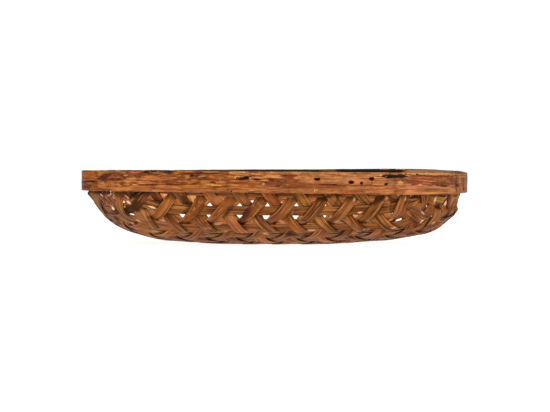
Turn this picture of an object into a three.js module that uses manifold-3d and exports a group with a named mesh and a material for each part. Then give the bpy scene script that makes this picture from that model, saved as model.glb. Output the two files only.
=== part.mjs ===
// A bamboo tray: flat splints woven in three directions on a lattice of triangles, turned up
// at the edge and clamped between bent bamboo bands. Millimetres, +Z up, X along the length.
// The origin is under the middle of the tray, on the plane that the tray stands on.
import * as THREE from 'three';
import { mergeVertices } from 'three/addons/utils/BufferGeometryUtils.js';
import Module from 'manifold-3d';

// ---- driving dimensions -------------------------------------------------------------
const LENGTH = 560; // outside of the rim, along X
const WIDTH = 372; // outside of the rim, along Y
const CORNER = 135; // plan radius of the rim's outer face at the corners
const RIM_TOP = 107.5; // top of the outer rim band
const FRONT_LOW = 76.5; // lower edge of the front band
const BACK_LOW = 78.5; // lower edge of the back band
const BACK_TOP = 107.0;
const OUTER_IN = 126.9; // plan radius of the outer bands' inner face
const INNER_OUT = 119.4; // inner band, plan radii of its two faces
const INNER_IN = 114.4;
const INNER_LOW = 84;
const INNER_TOP = 106;
const INNER_LEAN = 1.1; // it leans out with the weave
const LAP = 72; // length of the laps of the outer bands
const LAP_LEAD = 23; // the front band starts to thin this much before the back band's tip
const TIP_IN = 133.0; // plan radius of the front band's inner face at its tips
const GAP = 0.35;

const ROW = 28.77; // distance between the long splints
const PITCH = 42.49; // distance between the splints of one diagonal family, along a row
const SPLINT_W = 14.6; // width of a splint
const SPLINT_T = 1.1; // thickness of a splint
const PLY = 1.96; // from one layer's middle to the next
const PHASE = -10; // where the lattice points fall on row 0
const SHIFT = 24.4; // row 0 lies this far behind the tray's middle, so the rows at the front and back differ in height
const FLAT_HALF = 9; // a diagonal splint stays in its layer this far from a row
const WALL_TOP = 104; // the splints are cut off at this height, inside the rim
const SCARF_R = 74; // radius of the turn from floor to wall, at the middle layer

// ---- the woven sheet's shape --------------------------------------------------------
// In plan the tray is a rectangle CX by CY (half sizes) grown by a radius. Inside the
// rectangle the sheet is nearly flat; outside it, it turns up to a vertical wall. On the
// sheet, u runs along the rows and v across them, from row 0.
const CX = LENGTH / 2 - CORNER;
const CY = WIDTH / 2 - CORNER;
const COT = PITCH / 2 / ROW; // how far a diagonal splint runs sideways for each millimetre across the rows
const LIFT = PLY + SPLINT_T / 2; // middle layer above the plane it stands on

// The bed rises very slightly away from a flat middle.
function dish(x, y) {
  const a = Math.abs(x) / (LENGTH / 2);
  const b = Math.abs(y) / (WIDTH / 2);
  const rho = Math.cbrt(a * a * a + b * b * b);
  return rho > 0.3 ? 49 * Math.pow(rho - 0.3, 1.5) : 0;
}

// Radius and height of the middle layer against the distance along the sheet.
const STEP = 0.5;
const TURN_AT = 66;
const TURN_LEN = SCARF_R * THREE.MathUtils.degToRad(78);
const table = { r: [0], z: [dish(CX, 0)] };
for (let s = STEP / 2; s < 260; s += STEP) {
  let deg = 90;
  if (s < TURN_AT) deg = 8 + 4 * s / TURN_AT;
  else if (s < TURN_AT + TURN_LEN) deg = 12 + 78 * (s - TURN_AT) / TURN_LEN;
  const th = THREE.MathUtils.degToRad(deg);
  table.r.push(table.r.at(-1) + STEP * Math.cos(th));
  table.z.push(table.z.at(-1) + STEP * Math.sin(th));
}
function look(list, s) {
  const at = Math.min(Math.max(s / STEP, 0), list.length - 1.001);
  const i = Math.floor(at);
  return list[i] + (list[i + 1] - list[i]) * (at - i);
}
const reach = table.z.findIndex((z) => z + LIFT >= WALL_TOP) * STEP; // sheet length past the rectangle

function beyond(u, v) {
  return Math.hypot(Math.max(Math.abs(u) - CX, 0), Math.max(Math.abs(v + SHIFT) - CY, 0));
}
function middle(u, v) {
  const a = Math.sign(u) * Math.max(Math.abs(u) - CX, 0);
  const w = v + SHIFT;
  const b = Math.sign(w) * Math.max(Math.abs(w) - CY, 0);
  const s = Math.hypot(a, b);
  let x = Math.min(Math.max(u, -CX), CX);
  let y = Math.min(Math.max(w, -CY), CY);
  const r = look(table.r, s);
  if (s > 1e-9) {
    x += a / s * r;
    y += b / s * r;
  }
  const rise = look(table.z, s) - dish(CX + r, 0);
  return new THREE.Vector3(x, y, LIFT + rise + dish(x, y));
}
// A point h outside (below) the middle layer.
function onSheet(u, v, h) {
  const e = 0.4;
  const du = middle(u + e, v).sub(middle(u - e, v));
  const dv = middle(u, v + e).sub(middle(u, v - e));
  const out = dv.cross(du).normalize();
  return middle(u, v).addScaledVector(out, h);
}

// ---- meshes -------------------------------------------------------------------------
const wasm = await Module();
wasm.setup();

function geometryOf(points, faces) {
  const g = new THREE.BufferGeometry();
  g.setAttribute('position', new THREE.Float32BufferAttribute(points.flatMap((p) => [p.x, p.y, p.z]), 3));
  g.setIndex(faces.flat());
  let six = 0;
  for (const [a, b, c] of faces) six += points[a].dot(points[b].clone().cross(points[c]));
  if (six < 0) g.setIndex(faces.flatMap(([a, b, c]) => [a, c, b]));
  return g;
}

// A thin flat solid between two chains of stations. Each station is {u, v, h, at}, and the
// chains are joined in the order of at. On a tie, first says which side steps on first.
function strip(left, right, first) {
  const points = [];
  const faces = [];
  const [L, R] = [left, right].map((chain) => chain.map((p) => {
    points.push(onSheet(p.u, p.v, p.h + SPLINT_T / 2), onSheet(p.u, p.v, p.h - SPLINT_T / 2));
    return points.length - 2;
  }));
  let i = 0;
  let j = 0;
  const quad = (a, b, c, d) => faces.push([a, b, c], [a, c, d]);
  quad(L[0], L[0] + 1, R[0] + 1, R[0]);
  while (i < L.length - 1 || j < R.length - 1) {
    const lead = i < L.length - 1 && j < R.length - 1 ? right[j + 1].at - left[i + 1].at : 0;
    const goLeft = j === R.length - 1 || (i < L.length - 1 && (lead > 1e-6 || (lead > -1e-6 && first === 'left')));
    if (goLeft) {
      faces.push([L[i], R[j], L[i + 1]]);
      faces.push([L[i] + 1, L[i + 1] + 1, R[j] + 1]);
      quad(L[i] + 1, L[i], L[i + 1], L[i + 1] + 1);
      i += 1;
    } else {
      faces.push([L[i], R[j], R[j + 1]]);
      faces.push([L[i] + 1, R[j + 1] + 1, R[j] + 1]);
      quad(R[j], R[j] + 1, R[j + 1] + 1, R[j + 1]);
      j += 1;
    }
  }
  quad(L.at(-1), R.at(-1), R.at(-1) + 1, L.at(-1) + 1);
  return geometryOf(points, faces);
}

// The largest t in [inside, outside] for which test holds, or the smallest if outside is less.
function edgeOf(test, inside, outside) {
  let lo = inside;
  let hi = outside;
  for (let n = 0; n < 50; n += 1) {
    const m = (lo + hi) / 2;
    if (test(m)) lo = m;
    else hi = m;
  }
  return lo;
}
// One edge of a long splint, at v, from end to end of the sheet.
function longEdge(v, stations) {
  const end = edgeOf((u) => beyond(u, v) < reach, 0, 700);
  const kept = stations.filter((u) => Math.abs(u) < end - 4);
  return [-end, ...kept, end].map((u) => ({ u, v, h: 0, at: u }));
}
// The two edges of a diagonal splint: it is cut off along the sheet's own edge, so near an
// end one side follows that edge while the other runs on.
function diagonalEdges(u0, way, stations) {
  const half = SPLINT_W / 2 * Math.hypot(1, COT);
  const widest = (v) => CX + Math.sqrt(Math.max(0, reach * reach - Math.max(Math.abs(v + SHIFT) - CY, 0) ** 2));
  const sides = (v) => {
    const most = widest(v);
    const mid = u0 + way * COT * v;
    return [Math.max(mid - half, -most), Math.min(mid + half, most)];
  };
  const there = (v) => {
    const [a, b] = sides(v);
    return Math.abs(v + SHIFT) < CY + reach && b - a > 1.2;
  };
  let midV = null;
  for (let v = 0; v < CY + reach && midV === null; v += 2) {
    if (there(v)) midV = v;
    else if (there(-v)) midV = -v;
  }
  if (midV === null) return null;
  const from = edgeOf(there, midV, -400);
  const to = edgeOf(there, midV, 400);
  const flat = (v) => Math.abs(v + SHIFT) < 80 && Math.abs(u0 + way * COT * v) < 185 && Math.abs(v / ROW - Math.round(v / ROW)) < 0.01;
  const all = stations.filter((v) => v > from + 2.5 && v < to - 2.5 && !flat(v));
  return [from, ...all, to].map((v) => [v, sides(v)]);
}

// Layer of a diagonal splint at v: sign on even rows, -sign on odd rows, straight between.
function layer(v, sign) {
  const k = Math.floor(v / ROW);
  const t = v / ROW - k;
  const f = FLAT_HALF / ROW;
  const w = t < f ? 0 : t > 1 - f ? 1 : (t - f) / (1 - 2 * f);
  const parity = Math.abs(k) % 2 === 0 ? 1 : -1;
  return sign * parity * PLY * (1 - 2 * w);
}

const acrossRows = [];
for (let j = -9; j <= 8; j += 1) {
  acrossRows.push(j * ROW - FLAT_HALF, j * ROW + FLAT_HALF);
  acrossRows.push(j * ROW);
}
acrossRows.sort((a, b) => a - b);
const alongWall = [112, 145, 175, 205, 218, 230, 241, 252, 263, 274, 285, 297, 311];
const alongCorner = [128, 160, 190];
const alongRows = (w) => [0, ...(Math.abs(w) > 50 ? [28, 56, 84] : [84]), ...(Math.abs(w) > 85 ? alongCorner : []), ...alongWall].flatMap((u) => (u ? [-u, u] : [0])).sort((a, b) => a - b);

const root = new THREE.Group();
root.name = 'bamboo_tray';
const weaveLight = new THREE.MeshStandardMaterial({ color: 0xa06b42, roughness: 0.6, metalness: 0 });
const weaveMid = new THREE.MeshStandardMaterial({ color: 0x8e5b38, roughness: 0.6, metalness: 0 });
const weaveDark = new THREE.MeshStandardMaterial({ color: 0x7d4d30, roughness: 0.6, metalness: 0 });
const rimSkin = new THREE.MeshStandardMaterial({ color: 0xb87a48, roughness: 0.4, metalness: 0 });
const nailIron = new THREE.MeshStandardMaterial({ color: 0x3a322c, roughness: 0.7, metalness: 0.8 });
function add(name, geometry, material) {
  const mesh = new THREE.Mesh(geometry, material);
  mesh.name = name;
  root.add(mesh);
}
const two = (n) => String(n).padStart(2, '0');

// Long splints, always the middle layer.
for (let j = -8; j <= 6; j += 1) {
  const [a, b] = [-1, 1].map((e) => longEdge(j * ROW + e * SPLINT_W / 2, alongRows(j * ROW + SHIFT)));
  add(`long_splint_${two(j + 9)}`, strip(a, b, 'left'), weaveDark);
}
// Diagonal splints: way is -1 for those that lean right on the front wall, 1 for the others.
for (const [way, name, material] of [[-1, 'right_leaning_splint', weaveLight], [1, 'left_leaning_splint', weaveMid]]) {
  let n = 0;
  const first = way === 1 ? -7 : -8;
  for (let k = first; k < first + 17; k += 1) {
    const places = diagonalEdges(PHASE + k * PITCH, way, acrossRows);
    if (!places) continue;
    const side = (i) => places.map(([v, us]) => ({ u: us[i], v, h: layer(v, way), at: v }));
    n += 1;
    add(`${name}_${two(n)}`, strip(side(0), side(1), way === 1 ? 'left' : 'right'), material);
  }
}

// ---- rim bands ----------------------------------------------------------------------
// A place on the rim, t millimetres round from the middle of the front, towards +X.
const REF = 131;
const ARC = REF * Math.PI / 2;
const LEGS = [['x', CX], ['a', ARC], ['y', 2 * CY], ['a', ARC], ['x', 2 * CX], ['a', ARC], ['y', 2 * CY], ['a', ARC], ['x', CX]];
const AROUND = LEGS.reduce((sum, leg) => sum + leg[1], 0);
function rimPlace(t) {
  let rest = ((t % AROUND) + AROUND) % AROUND;
  let x = 0;
  let y = -CY;
  let turn = -Math.PI / 2;
  for (const [kind, len] of LEGS) {
    const go = Math.min(rest, len);
    if (kind === 'a') turn += go / REF;
    else {
      x += -Math.sin(turn) * go;
      y += Math.cos(turn) * go;
    }
    rest -= go;
    if (rest <= 0) break;
  }
  return { x, y, c: Math.cos(turn), s: Math.sin(turn) };
}
function rimPoint(t, r, z) {
  const p = rimPlace(t);
  return new THREE.Vector3(p.x + r * p.c, p.y + r * p.s, z);
}
// Stations along a stretch of rim: close in the corners, few on the straights.
function rimStations(from, to, extra) {
  const marks = new Set([from, to, ...extra]);
  for (let turn = -1; turn <= 2; turn += 1) {
    let at = turn * AROUND;
    for (const [kind, len] of LEGS) {
      const parts = kind === 'a' ? 10 : len > 200 ? 3 : 2;
      for (let i = 0; i <= parts; i += 1) marks.add(at + len * i / parts);
      at += len;
    }
  }
  const all = [...marks].filter((t) => t >= from && t <= to).sort((a, b) => a - b);
  const must = new Set([from, to, ...extra]);
  const kept = [];
  for (const t of all) {
    if (kept.length && t - kept.at(-1) < 4) {
      if (must.has(t) && !must.has(kept.at(-1))) kept[kept.length - 1] = t;
      else if (must.has(t)) kept.push(t);
    } else kept.push(t);
  }
  return kept;
}
// A bent band with its outer edges eased. inner and outer give plan radii at t, and lean is
// how much further out the band stands at its top.
function band(from, to, extra, inner, outer, low, top, ease, lean = 0) {
  const points = [];
  const faces = [];
  const stations = rimStations(from, to, extra);
  for (const t of stations) {
    const a = inner(t);
    const b = outer(t);
    const e = Math.min(ease, (b - a) * 0.45);
    points.push(
      rimPoint(t, a, low), rimPoint(t, b - e, low), rimPoint(t, b, low + e),
      rimPoint(t, b + lean, top - e), rimPoint(t, b + lean - e, top), rimPoint(t, a + lean, top),
    );
  }
  const n = 6;
  for (let i = 0; i + 1 < stations.length; i += 1) {
    for (let k = 0; k < n; k += 1) {
      const p = i * n + k;
      const q = i * n + (k + 1) % n;
      faces.push([p, q, q + n], [p, q + n, p + n]);
    }
  }
  const last = (stations.length - 1) * n;
  for (let k = 1; k + 1 < n; k += 1) {
    faces.push([0, k + 1, k]);
    faces.push([last, last + k, last + k + 1]);
  }
  return geometryOf(points, faces);
}
const clamp01 = (x) => Math.min(Math.max(x, 0), 1);

// The front band ends at these two places; past them the back band shows.
const RIGHT_END = CX + REF * THREE.MathUtils.degToRad(62.7);
const LEFT_END = -(CX + REF * THREE.MathUtils.degToRad(51.1));
const fromTip = (t) => Math.min(RIGHT_END - t, t - LEFT_END);
function frontInner(t) {
  return OUTER_IN + (TIP_IN - OUTER_IN) * clamp01(1 - fromTip(t) / (LAP + LAP_LEAD));
}
const around = (t) => (t > AROUND / 2 ? t - AROUND : t); // same place, measured from the front
function backOuter(t) {
  const s = around(t);
  const past = -fromTip(s);
  if (past <= 0) return frontInner(s) - GAP;
  return TIP_IN - GAP + (CORNER - TIP_IN + GAP) * clamp01(past / 45);
}
const lapMarks = [];
for (const d of [LAP + LAP_LEAD, LAP, 48, 24]) lapMarks.push(RIGHT_END - d, LEFT_END + d);
const frontBand = band(LEFT_END, RIGHT_END, lapMarks, frontInner, () => CORNER, FRONT_LOW, RIM_TOP, 1.2);
const backMarks = [];
for (const d of [48, 24, 0, -22, -45]) backMarks.push(RIGHT_END - d, AROUND + LEFT_END + d);
const backBand = band(RIGHT_END - LAP, AROUND + LEFT_END + LAP, backMarks, () => OUTER_IN, backOuter, BACK_LOW, BACK_TOP, 1.2);

// Inner band: one strip, its ends shaved and lapped at the middle of the back.
const IN_LAP = 80;
const IN_START = AROUND / 2 - IN_LAP / 2;
const IN_END = IN_START + AROUND + IN_LAP;
const split = (d) => INNER_OUT - 1.2 - (INNER_OUT - INNER_IN - 2.4) * d / IN_LAP;
function innerIn(t) {
  const d = t - IN_START;
  if (d <= IN_LAP) return split(d) + GAP / 2;
  return d < IN_LAP + 12 ? THREE.MathUtils.lerp(split(IN_LAP) + GAP / 2, INNER_IN, (d - IN_LAP) / 12) : INNER_IN;
}
function innerOut(t) {
  const d = t - (IN_END - IN_LAP);
  if (d >= 0) return split(d) - GAP / 2;
  return d > -12 ? THREE.MathUtils.lerp(split(0) - GAP / 2, INNER_OUT, -d / 12) : INNER_OUT;
}
const innerMarks = [IN_START + IN_LAP, IN_START + IN_LAP + 12, IN_END - IN_LAP - 12, IN_END - IN_LAP];
const innerBand = band(IN_START, IN_END, innerMarks, innerIn, innerOut, INNER_LOW, INNER_TOP, 0.8, INNER_LEAN);

// ---- nails --------------------------------------------------------------------------
// A nail lies along the plan radius at t. Its head is let into the band.
function turned(profile, t, z) {
  const g = new THREE.LatheGeometry(profile.map(([r, y]) => new THREE.Vector2(r, y)), 10);
  g.deleteAttribute('normal');
  g.deleteAttribute('uv');
  const p = rimPlace(t);
  const out = new THREE.Vector3(p.c, p.s, 0);
  const up = new THREE.Vector3(0, 0, 1);
  const side = new THREE.Vector3().crossVectors(out, up);
  g.applyMatrix4(new THREE.Matrix4().makeBasis(side, out, up).setPosition(p.x, p.y, z));
  return mergeVertices(g, 1e-4);
}
function solid(g) {
  const m = mergeVertices(new THREE.BufferGeometry().copy(g).deleteAttribute('normal'), 1e-4);
  return new wasm.Manifold(new wasm.Mesh({
    numProp: 3,
    vertProperties: new Float32Array(m.attributes.position.array),
    triVerts: new Uint32Array(m.index.array),
  }));
}
function shape(s) {
  const mesh = s.getMesh();
  const g = new THREE.BufferGeometry();
  const xyz = [];
  for (let i = 0; i < mesh.numVert; i += 1) for (let k = 0; k < 3; k += 1) xyz.push(mesh.vertProperties[i * mesh.numProp + k]);
  g.setAttribute('position', new THREE.Float32BufferAttribute(xyz, 3));
  g.setIndex([...mesh.triVerts]);
  return g;
}
const SHANK = 1.0;
const HEAD = 2.1;
const nailProfile = (tip) => [[0, tip], [SHANK * 0.5, tip + 0.4], [SHANK, tip + 1.6], [SHANK, CORNER - 0.7], [HEAD, CORNER - 0.5], [HEAD, CORNER + 0.15], [HEAD * 0.6, CORNER + 0.45], [0, CORNER + 0.5]];
const holeProfile = (tip) => [[0, tip - GAP], [SHANK + 0.3, tip - GAP], [SHANK + 0.3, CORNER - 1.1], [HEAD + 0.35, CORNER - 0.95], [HEAD + 0.35, CORNER + 2], [0, CORNER + 2]];
const nails = [];
for (const [name, t, z, tip] of [
  ['right_lap_nail_1', RIGHT_END - 15, 89, 128.6],
  ['right_lap_nail_2', RIGHT_END - 45, 90, 128.2],
  ['left_lap_nail_1', LEFT_END + 15, 91, 128.6],
  ['left_lap_nail_2', LEFT_END + 45, 89, 128.2],
  ['front_rim_nail_1', -52, 98, 116.2],
  ['front_rim_nail_2', 156, 101, 116.2],
  ['back_rim_nail_1', AROUND / 2 - 75, 96, 116.2],
  ['back_rim_nail_2', AROUND / 2 + 95, 96, 116.2],
]) nails.push({ name, t, z, tip });

function drilled(g, here) {
  let s = solid(g);
  for (const n of here) s = s.subtract(solid(turned(holeProfile(n.tip), n.t, n.z)));
  return shape(s);
}
const named = (part) => nails.filter((n) => part.some((p) => n.name.startsWith(p)));
add('outer_rim_front', drilled(frontBand, named(['right_lap', 'left_lap', 'front_rim'])), rimSkin);
add('outer_rim_back', drilled(backBand, named(['right_lap', 'left_lap', 'back_rim'])), rimSkin);
add('inner_rim', drilled(innerBand, named(['front_rim', 'back_rim'])), rimSkin);
for (const n of nails) add(n.name, turned(nailProfile(n.tip), n.t, n.z), nailIron);

export default root;
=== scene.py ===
"""A bamboo tray: a bed of flat splints woven in three directions, turned up at the edge and clamped between bent
bamboo bands. Every splint, band and nail is built here at full detail in the place that the frame gives it."""

import math

import bpy
import numpy as np
from mathutils import Matrix, Vector


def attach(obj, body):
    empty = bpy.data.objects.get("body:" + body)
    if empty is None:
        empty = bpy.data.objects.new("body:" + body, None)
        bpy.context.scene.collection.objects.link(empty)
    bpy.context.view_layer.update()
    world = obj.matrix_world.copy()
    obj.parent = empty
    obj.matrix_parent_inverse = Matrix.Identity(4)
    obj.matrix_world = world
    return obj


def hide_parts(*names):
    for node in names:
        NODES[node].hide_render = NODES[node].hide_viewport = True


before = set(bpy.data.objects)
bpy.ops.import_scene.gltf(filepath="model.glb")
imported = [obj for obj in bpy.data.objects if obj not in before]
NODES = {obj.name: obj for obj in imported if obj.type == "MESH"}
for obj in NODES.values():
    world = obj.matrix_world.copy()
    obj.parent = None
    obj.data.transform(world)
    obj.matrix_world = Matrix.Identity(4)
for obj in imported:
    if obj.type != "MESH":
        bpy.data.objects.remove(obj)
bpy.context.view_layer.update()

# ---------------------------------------------------------------- sizes, in millimetres, as the frame has them
LENGTH, WIDTH, CORNER = 560.0, 372.0, 135.0
CX, CY = LENGTH / 2 - CORNER, WIDTH / 2 - CORNER
RIM_TOP, FRONT_LOW, FRONT_TAPER, BACK_LOW, BACK_TOP = 107.5, 76.5, 1.25, 78.5, 107.0
OUTER_IN, INNER_OUT, INNER_IN, INNER_LOW, INNER_TOP, INNER_LEAN = 126.9, 119.4, 114.4, 84.0, 106.0, 1.1
LAP, LAP_LEAD, TIP_IN, GAP = 72.0, 23.0, 133.0, 0.35
ROW, PITCH, SPLINT_W, SPLINT_T, PLY, PHASE, SHIFT = 28.77, 42.49, 14.6, 1.1, 1.96, -10.0, 24.4
WALL_TOP, SCARF_R = 104.0, 74.0
COT = PITCH / 2 / ROW
SLOPE = math.hypot(1, COT)
LIFT = PLY + SPLINT_T / 2
TWIST = 1.8  # the rim is out of true: front left and back right corners stand this much high

# ---------------------------------------------------------------- repeatable noise
_tables = {}


def table_of(seed):
    if seed not in _tables:
        _tables[seed] = np.random.RandomState(1000 + seed).rand(128, 128)
    return _tables[seed]


def noise(x, y, seed=0):
    """Smooth value noise from 0 to 1, one cell per unit."""
    t = table_of(seed)
    x, y = np.broadcast_arrays(np.asarray(x, float), np.asarray(y, float))
    xi, yi = np.floor(x).astype(int), np.floor(y).astype(int)
    fx, fy = x - xi, y - yi
    fx, fy = fx * fx * (3 - 2 * fx), fy * fy * (3 - 2 * fy)
    a, b = t[xi % 128, yi % 128], t[(xi + 1) % 128, yi % 128]
    c, d = t[xi % 128, (yi + 1) % 128], t[(xi + 1) % 128, (yi + 1) % 128]
    return (a * (1 - fx) + b * fx) * (1 - fy) + (c * (1 - fx) + d * fx) * fy


def fbm(x, y, seed=0, octaves=3):
    total, size, amp = 0.0, 0.0, 1.0
    for k in range(octaves):
        total = total + amp * noise(np.asarray(x) * 2**k, np.asarray(y) * 2**k, seed + k)
        size += amp
        amp *= 0.55
    return total / size


def step(a, b, x):
    t = np.clip((np.asarray(x, float) - a) / (b - a), 0, 1)
    return t * t * (3 - 2 * t)


def linear(rgb):
    """Linear colour from 0 to 255 display values."""
    c = np.asarray(rgb, float) / 255
    return np.where(c <= 0.04045, c / 12.92, ((c + 0.055) / 1.055) ** 2.4)


def ramp(t, stops):
    """Colours by position, from [(position, display rgb)]."""
    at = [s[0] for s in stops]
    cols = np.array([linear(s[1]) for s in stops])
    return np.stack([np.interp(t, at, cols[:, k]) for k in range(3)], -1)


def blend_to(paint, rgb, mask):
    m = np.asarray(mask)[..., None]
    return paint * (1 - m) + linear(rgb) * m


# ---------------------------------------------------------------- the woven sheet's shape
def dish(x, y):
    rho = np.cbrt((np.abs(x) / (LENGTH / 2)) ** 3 + (np.abs(y) / (WIDTH / 2)) ** 3)
    return 49 * np.maximum(rho - 0.3, 0) ** 1.5


_S = 0.5
_turn = SCARF_R * math.radians(78)
_tr, _tz = [0.0], [float(dish(CX, 0.0))]
for _k in range(520):
    _s = _S / 2 + _k * _S
    _deg = 8 + 4 * _s / 66 if _s < 66 else (12 + 78 * (_s - 66) / _turn if _s < 66 + _turn else 90)
    _tr.append(_tr[-1] + _S * math.cos(math.radians(_deg)))
    _tz.append(_tz[-1] + _S * math.sin(math.radians(_deg)))
_tr, _tz = np.array(_tr), np.array(_tz)
_ts = np.arange(len(_tr)) * _S
REACH = float(_ts[np.argmax(_tz + LIFT >= WALL_TOP)])


def beyond(u, v):
    return np.hypot(np.maximum(np.abs(u) - CX, 0), np.maximum(np.abs(v + SHIFT) - CY, 0))


def middle(u, v):
    a = np.sign(u) * np.maximum(np.abs(u) - CX, 0)
    w = v + SHIFT
    b = np.sign(w) * np.maximum(np.abs(w) - CY, 0)
    s = np.hypot(a, b)
    r = np.interp(s, _ts, _tr)
    k = r / np.maximum(s, 1e-9)
    x = np.clip(u, -CX, CX) + a * k
    y = np.clip(w, -CY, CY) + b * k
    z = LIFT + np.interp(s, _ts, _tz) - dish(CX + r, 0.0) + dish(x, y)
    return np.stack([x, y, z], -1)


def on_sheet(u, v, h):
    """Points h outside (below) the sheet's middle layer."""
    e = 0.8
    du = middle(u + e, v) - middle(u - e, v)
    dv = middle(u, v + e) - middle(u, v - e)
    n = np.cross(dv, du)
    n /= np.linalg.norm(n, axis=-1, keepdims=True)
    return middle(u, v) + n * np.asarray(h)[..., None]


def warp(p):
    """The twist of the whole rim, fading out down the wall."""
    p = p.copy()
    w = step(12, 76, p[..., 2])
    p[..., 2] += TWIST * w * p[..., 0] / 280 * p[..., 1] / 186
    p[..., 2] -= 1.5 * step(225, 262, p[..., 0]) * step(84, 106, p[..., 2])  # the right end dips a little
    return p


def settle(p):
    """The two ends of the bed have sagged unevenly: x outwards and z by height, in mm."""
    p = p.copy()
    x, z = p[..., 0], p[..., 2]
    end = step(140, 235, np.abs(x))
    left = np.interp(z, [5, 12, 20, 35, 50, 62, 68, 73, 77], [0, -2.5, -5.5, -5.0, -3.0, -2.5, 0, 3.0, 0])
    right = np.interp(z, [8, 16, 28, 38, 44, 52, 58, 64, 70, 77], [0, 4.0, 4.5, 4.0, 6.5, 7.0, 2.0, 1.2, 1.5, 0])
    out = np.where(x < 0, left, right) * end
    low = np.interp(z, [2.6, 8, 30, 60], [0, 1, 1, 0]) * np.where(x < 0, 2.2 * step(60, 130, -x) * step(215, 175, -x), 2.8 * step(110, 175, x))
    p[..., 0] += np.sign(x) * out
    p[..., 2] -= low
    return p


# crossings that have slipped: by x and z on the near side, in mm (x, z, radius in x, radius in z, move in x, move in z)
SLIPS = [(-214.0, 55.0, 13.0, 15.0, -5.0, 0.0), (-200.0, 55.0, 14.0, 12.0, -2.5, -6.0), (203.0, 58.0, 10.0, 13.0, 4.5, 0.0),
         (-4.0, 40.5, 9.0, 8.5, -5.0, 0.0), (-125.0, 41.0, 9.0, 8.5, -3.0, 0.0)]


def slip(p):
    p = p.copy()
    near = step(-20, -60, p[..., 1])
    for x, z, rx, rz, mx, mz in SLIPS:
        w = near * np.exp(-(((p[..., 0] - x) / rx) ** 2) - ((p[..., 2] - z) / rz) ** 2)
        p[..., 0] += mx * w
        p[..., 2] += mz * w
    return p


# ---------------------------------------------------------------- camera, first, because marks are placed by its view
CAM = dict(x=-3.8, d=3890.0, z=146.2, tx=0.84, tz=54.3, roll=0.06, f=2642.4)
_cam = np.array([CAM["x"], -CAM["d"], CAM["z"]])
_fw = np.array([CAM["tx"], 10.0, CAM["tz"]]) - _cam
_fw /= np.linalg.norm(_fw)
_rt = np.cross(_fw, [0, 0, 1.0])
_rt /= np.linalg.norm(_rt)
_up = np.cross(_rt, _fw)
_a = math.radians(CAM["roll"])
_rt, _up = _rt * math.cos(_a) + _up * math.sin(_a), -_rt * math.sin(_a) + _up * math.cos(_a)


def seen_at(p):
    """Where points show in the 550 by 412 picture."""
    d = p - _cam
    z = d @ _fw
    return 275 + CAM["f"] * (d @ _rt) / z, 206 - CAM["f"] * (d @ _up) / z


cam_data = bpy.data.cameras.new("camera")
cam_data.sensor_width = 36.0
cam_data.lens = CAM["f"] / 550 * 36
cam_data.clip_start, cam_data.clip_end = 0.05, 60
camera = bpy.data.objects.new("camera", cam_data)
bpy.context.scene.collection.objects.link(camera)
camera.matrix_world = Matrix(
    (
        (_rt[0], _up[0], -_fw[0], _cam[0] / 1000),
        (_rt[1], _up[1], -_fw[1], _cam[1] / 1000),
        (_rt[2], _up[2], -_fw[2], _cam[2] / 1000),
        (0, 0, 0, 1),
    )
)
bpy.context.scene.camera = camera


# ---------------------------------------------------------------- meshes
WEAVE_GAIN = (0.71, 0.62, 0.48)
GAIN = {"splint_dark": WEAVE_GAIN, "splint_light": WEAVE_GAIN, "splint_mid": WEAVE_GAIN, "rim": (0.62, 0.56, 0.42), "nail": (1, 1, 1)}


def make_object(name, points, faces, paint, grain, node, slot, material, sharp=None):
    """A piece from points in millimetres. paint is a linear colour and grain a vector for each point."""
    me = bpy.data.meshes.new(name)
    me.from_pydata((points / 1000.0).tolist(), [], faces)
    me.polygons.foreach_set("use_smooth", np.ones(len(me.polygons), bool))
    col = me.attributes.new("paint", "FLOAT_COLOR", "POINT")
    rgba = np.ones((len(points), 4), np.float32)
    rgba[:, :3] = np.clip(paint * np.array(GAIN[slot]), 0.001, 1)
    col.data.foreach_set("color", rgba.ravel())
    g = me.attributes.new("grain", "FLOAT_VECTOR", "POINT")
    g.data.foreach_set("vector", np.asarray(grain, np.float32).ravel())
    me.validate()
    me.update()
    if sharp:
        me.set_sharp_from_angle(angle=math.radians(sharp))
    ob = bpy.data.objects.new(name, me)
    bpy.context.scene.collection.objects.link(ob)
    me.materials.append(material)
    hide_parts(node)
    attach(ob, "root")
    return ob


def ring_faces(n, k, caps=True):
    """Quads of n stations of k points each, as one closed tube. Points are station by station."""
    i, j = np.meshgrid(np.arange(n - 1), np.arange(k), indexing="ij")
    a = i * k + j
    b = i * k + (j + 1) % k
    return np.stack([a, b, b + k, a + k], -1).reshape(-1, 4).tolist()


# ---------------------------------------------------------------- materials
def socket(node, name):
    return node.inputs[name]


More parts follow.
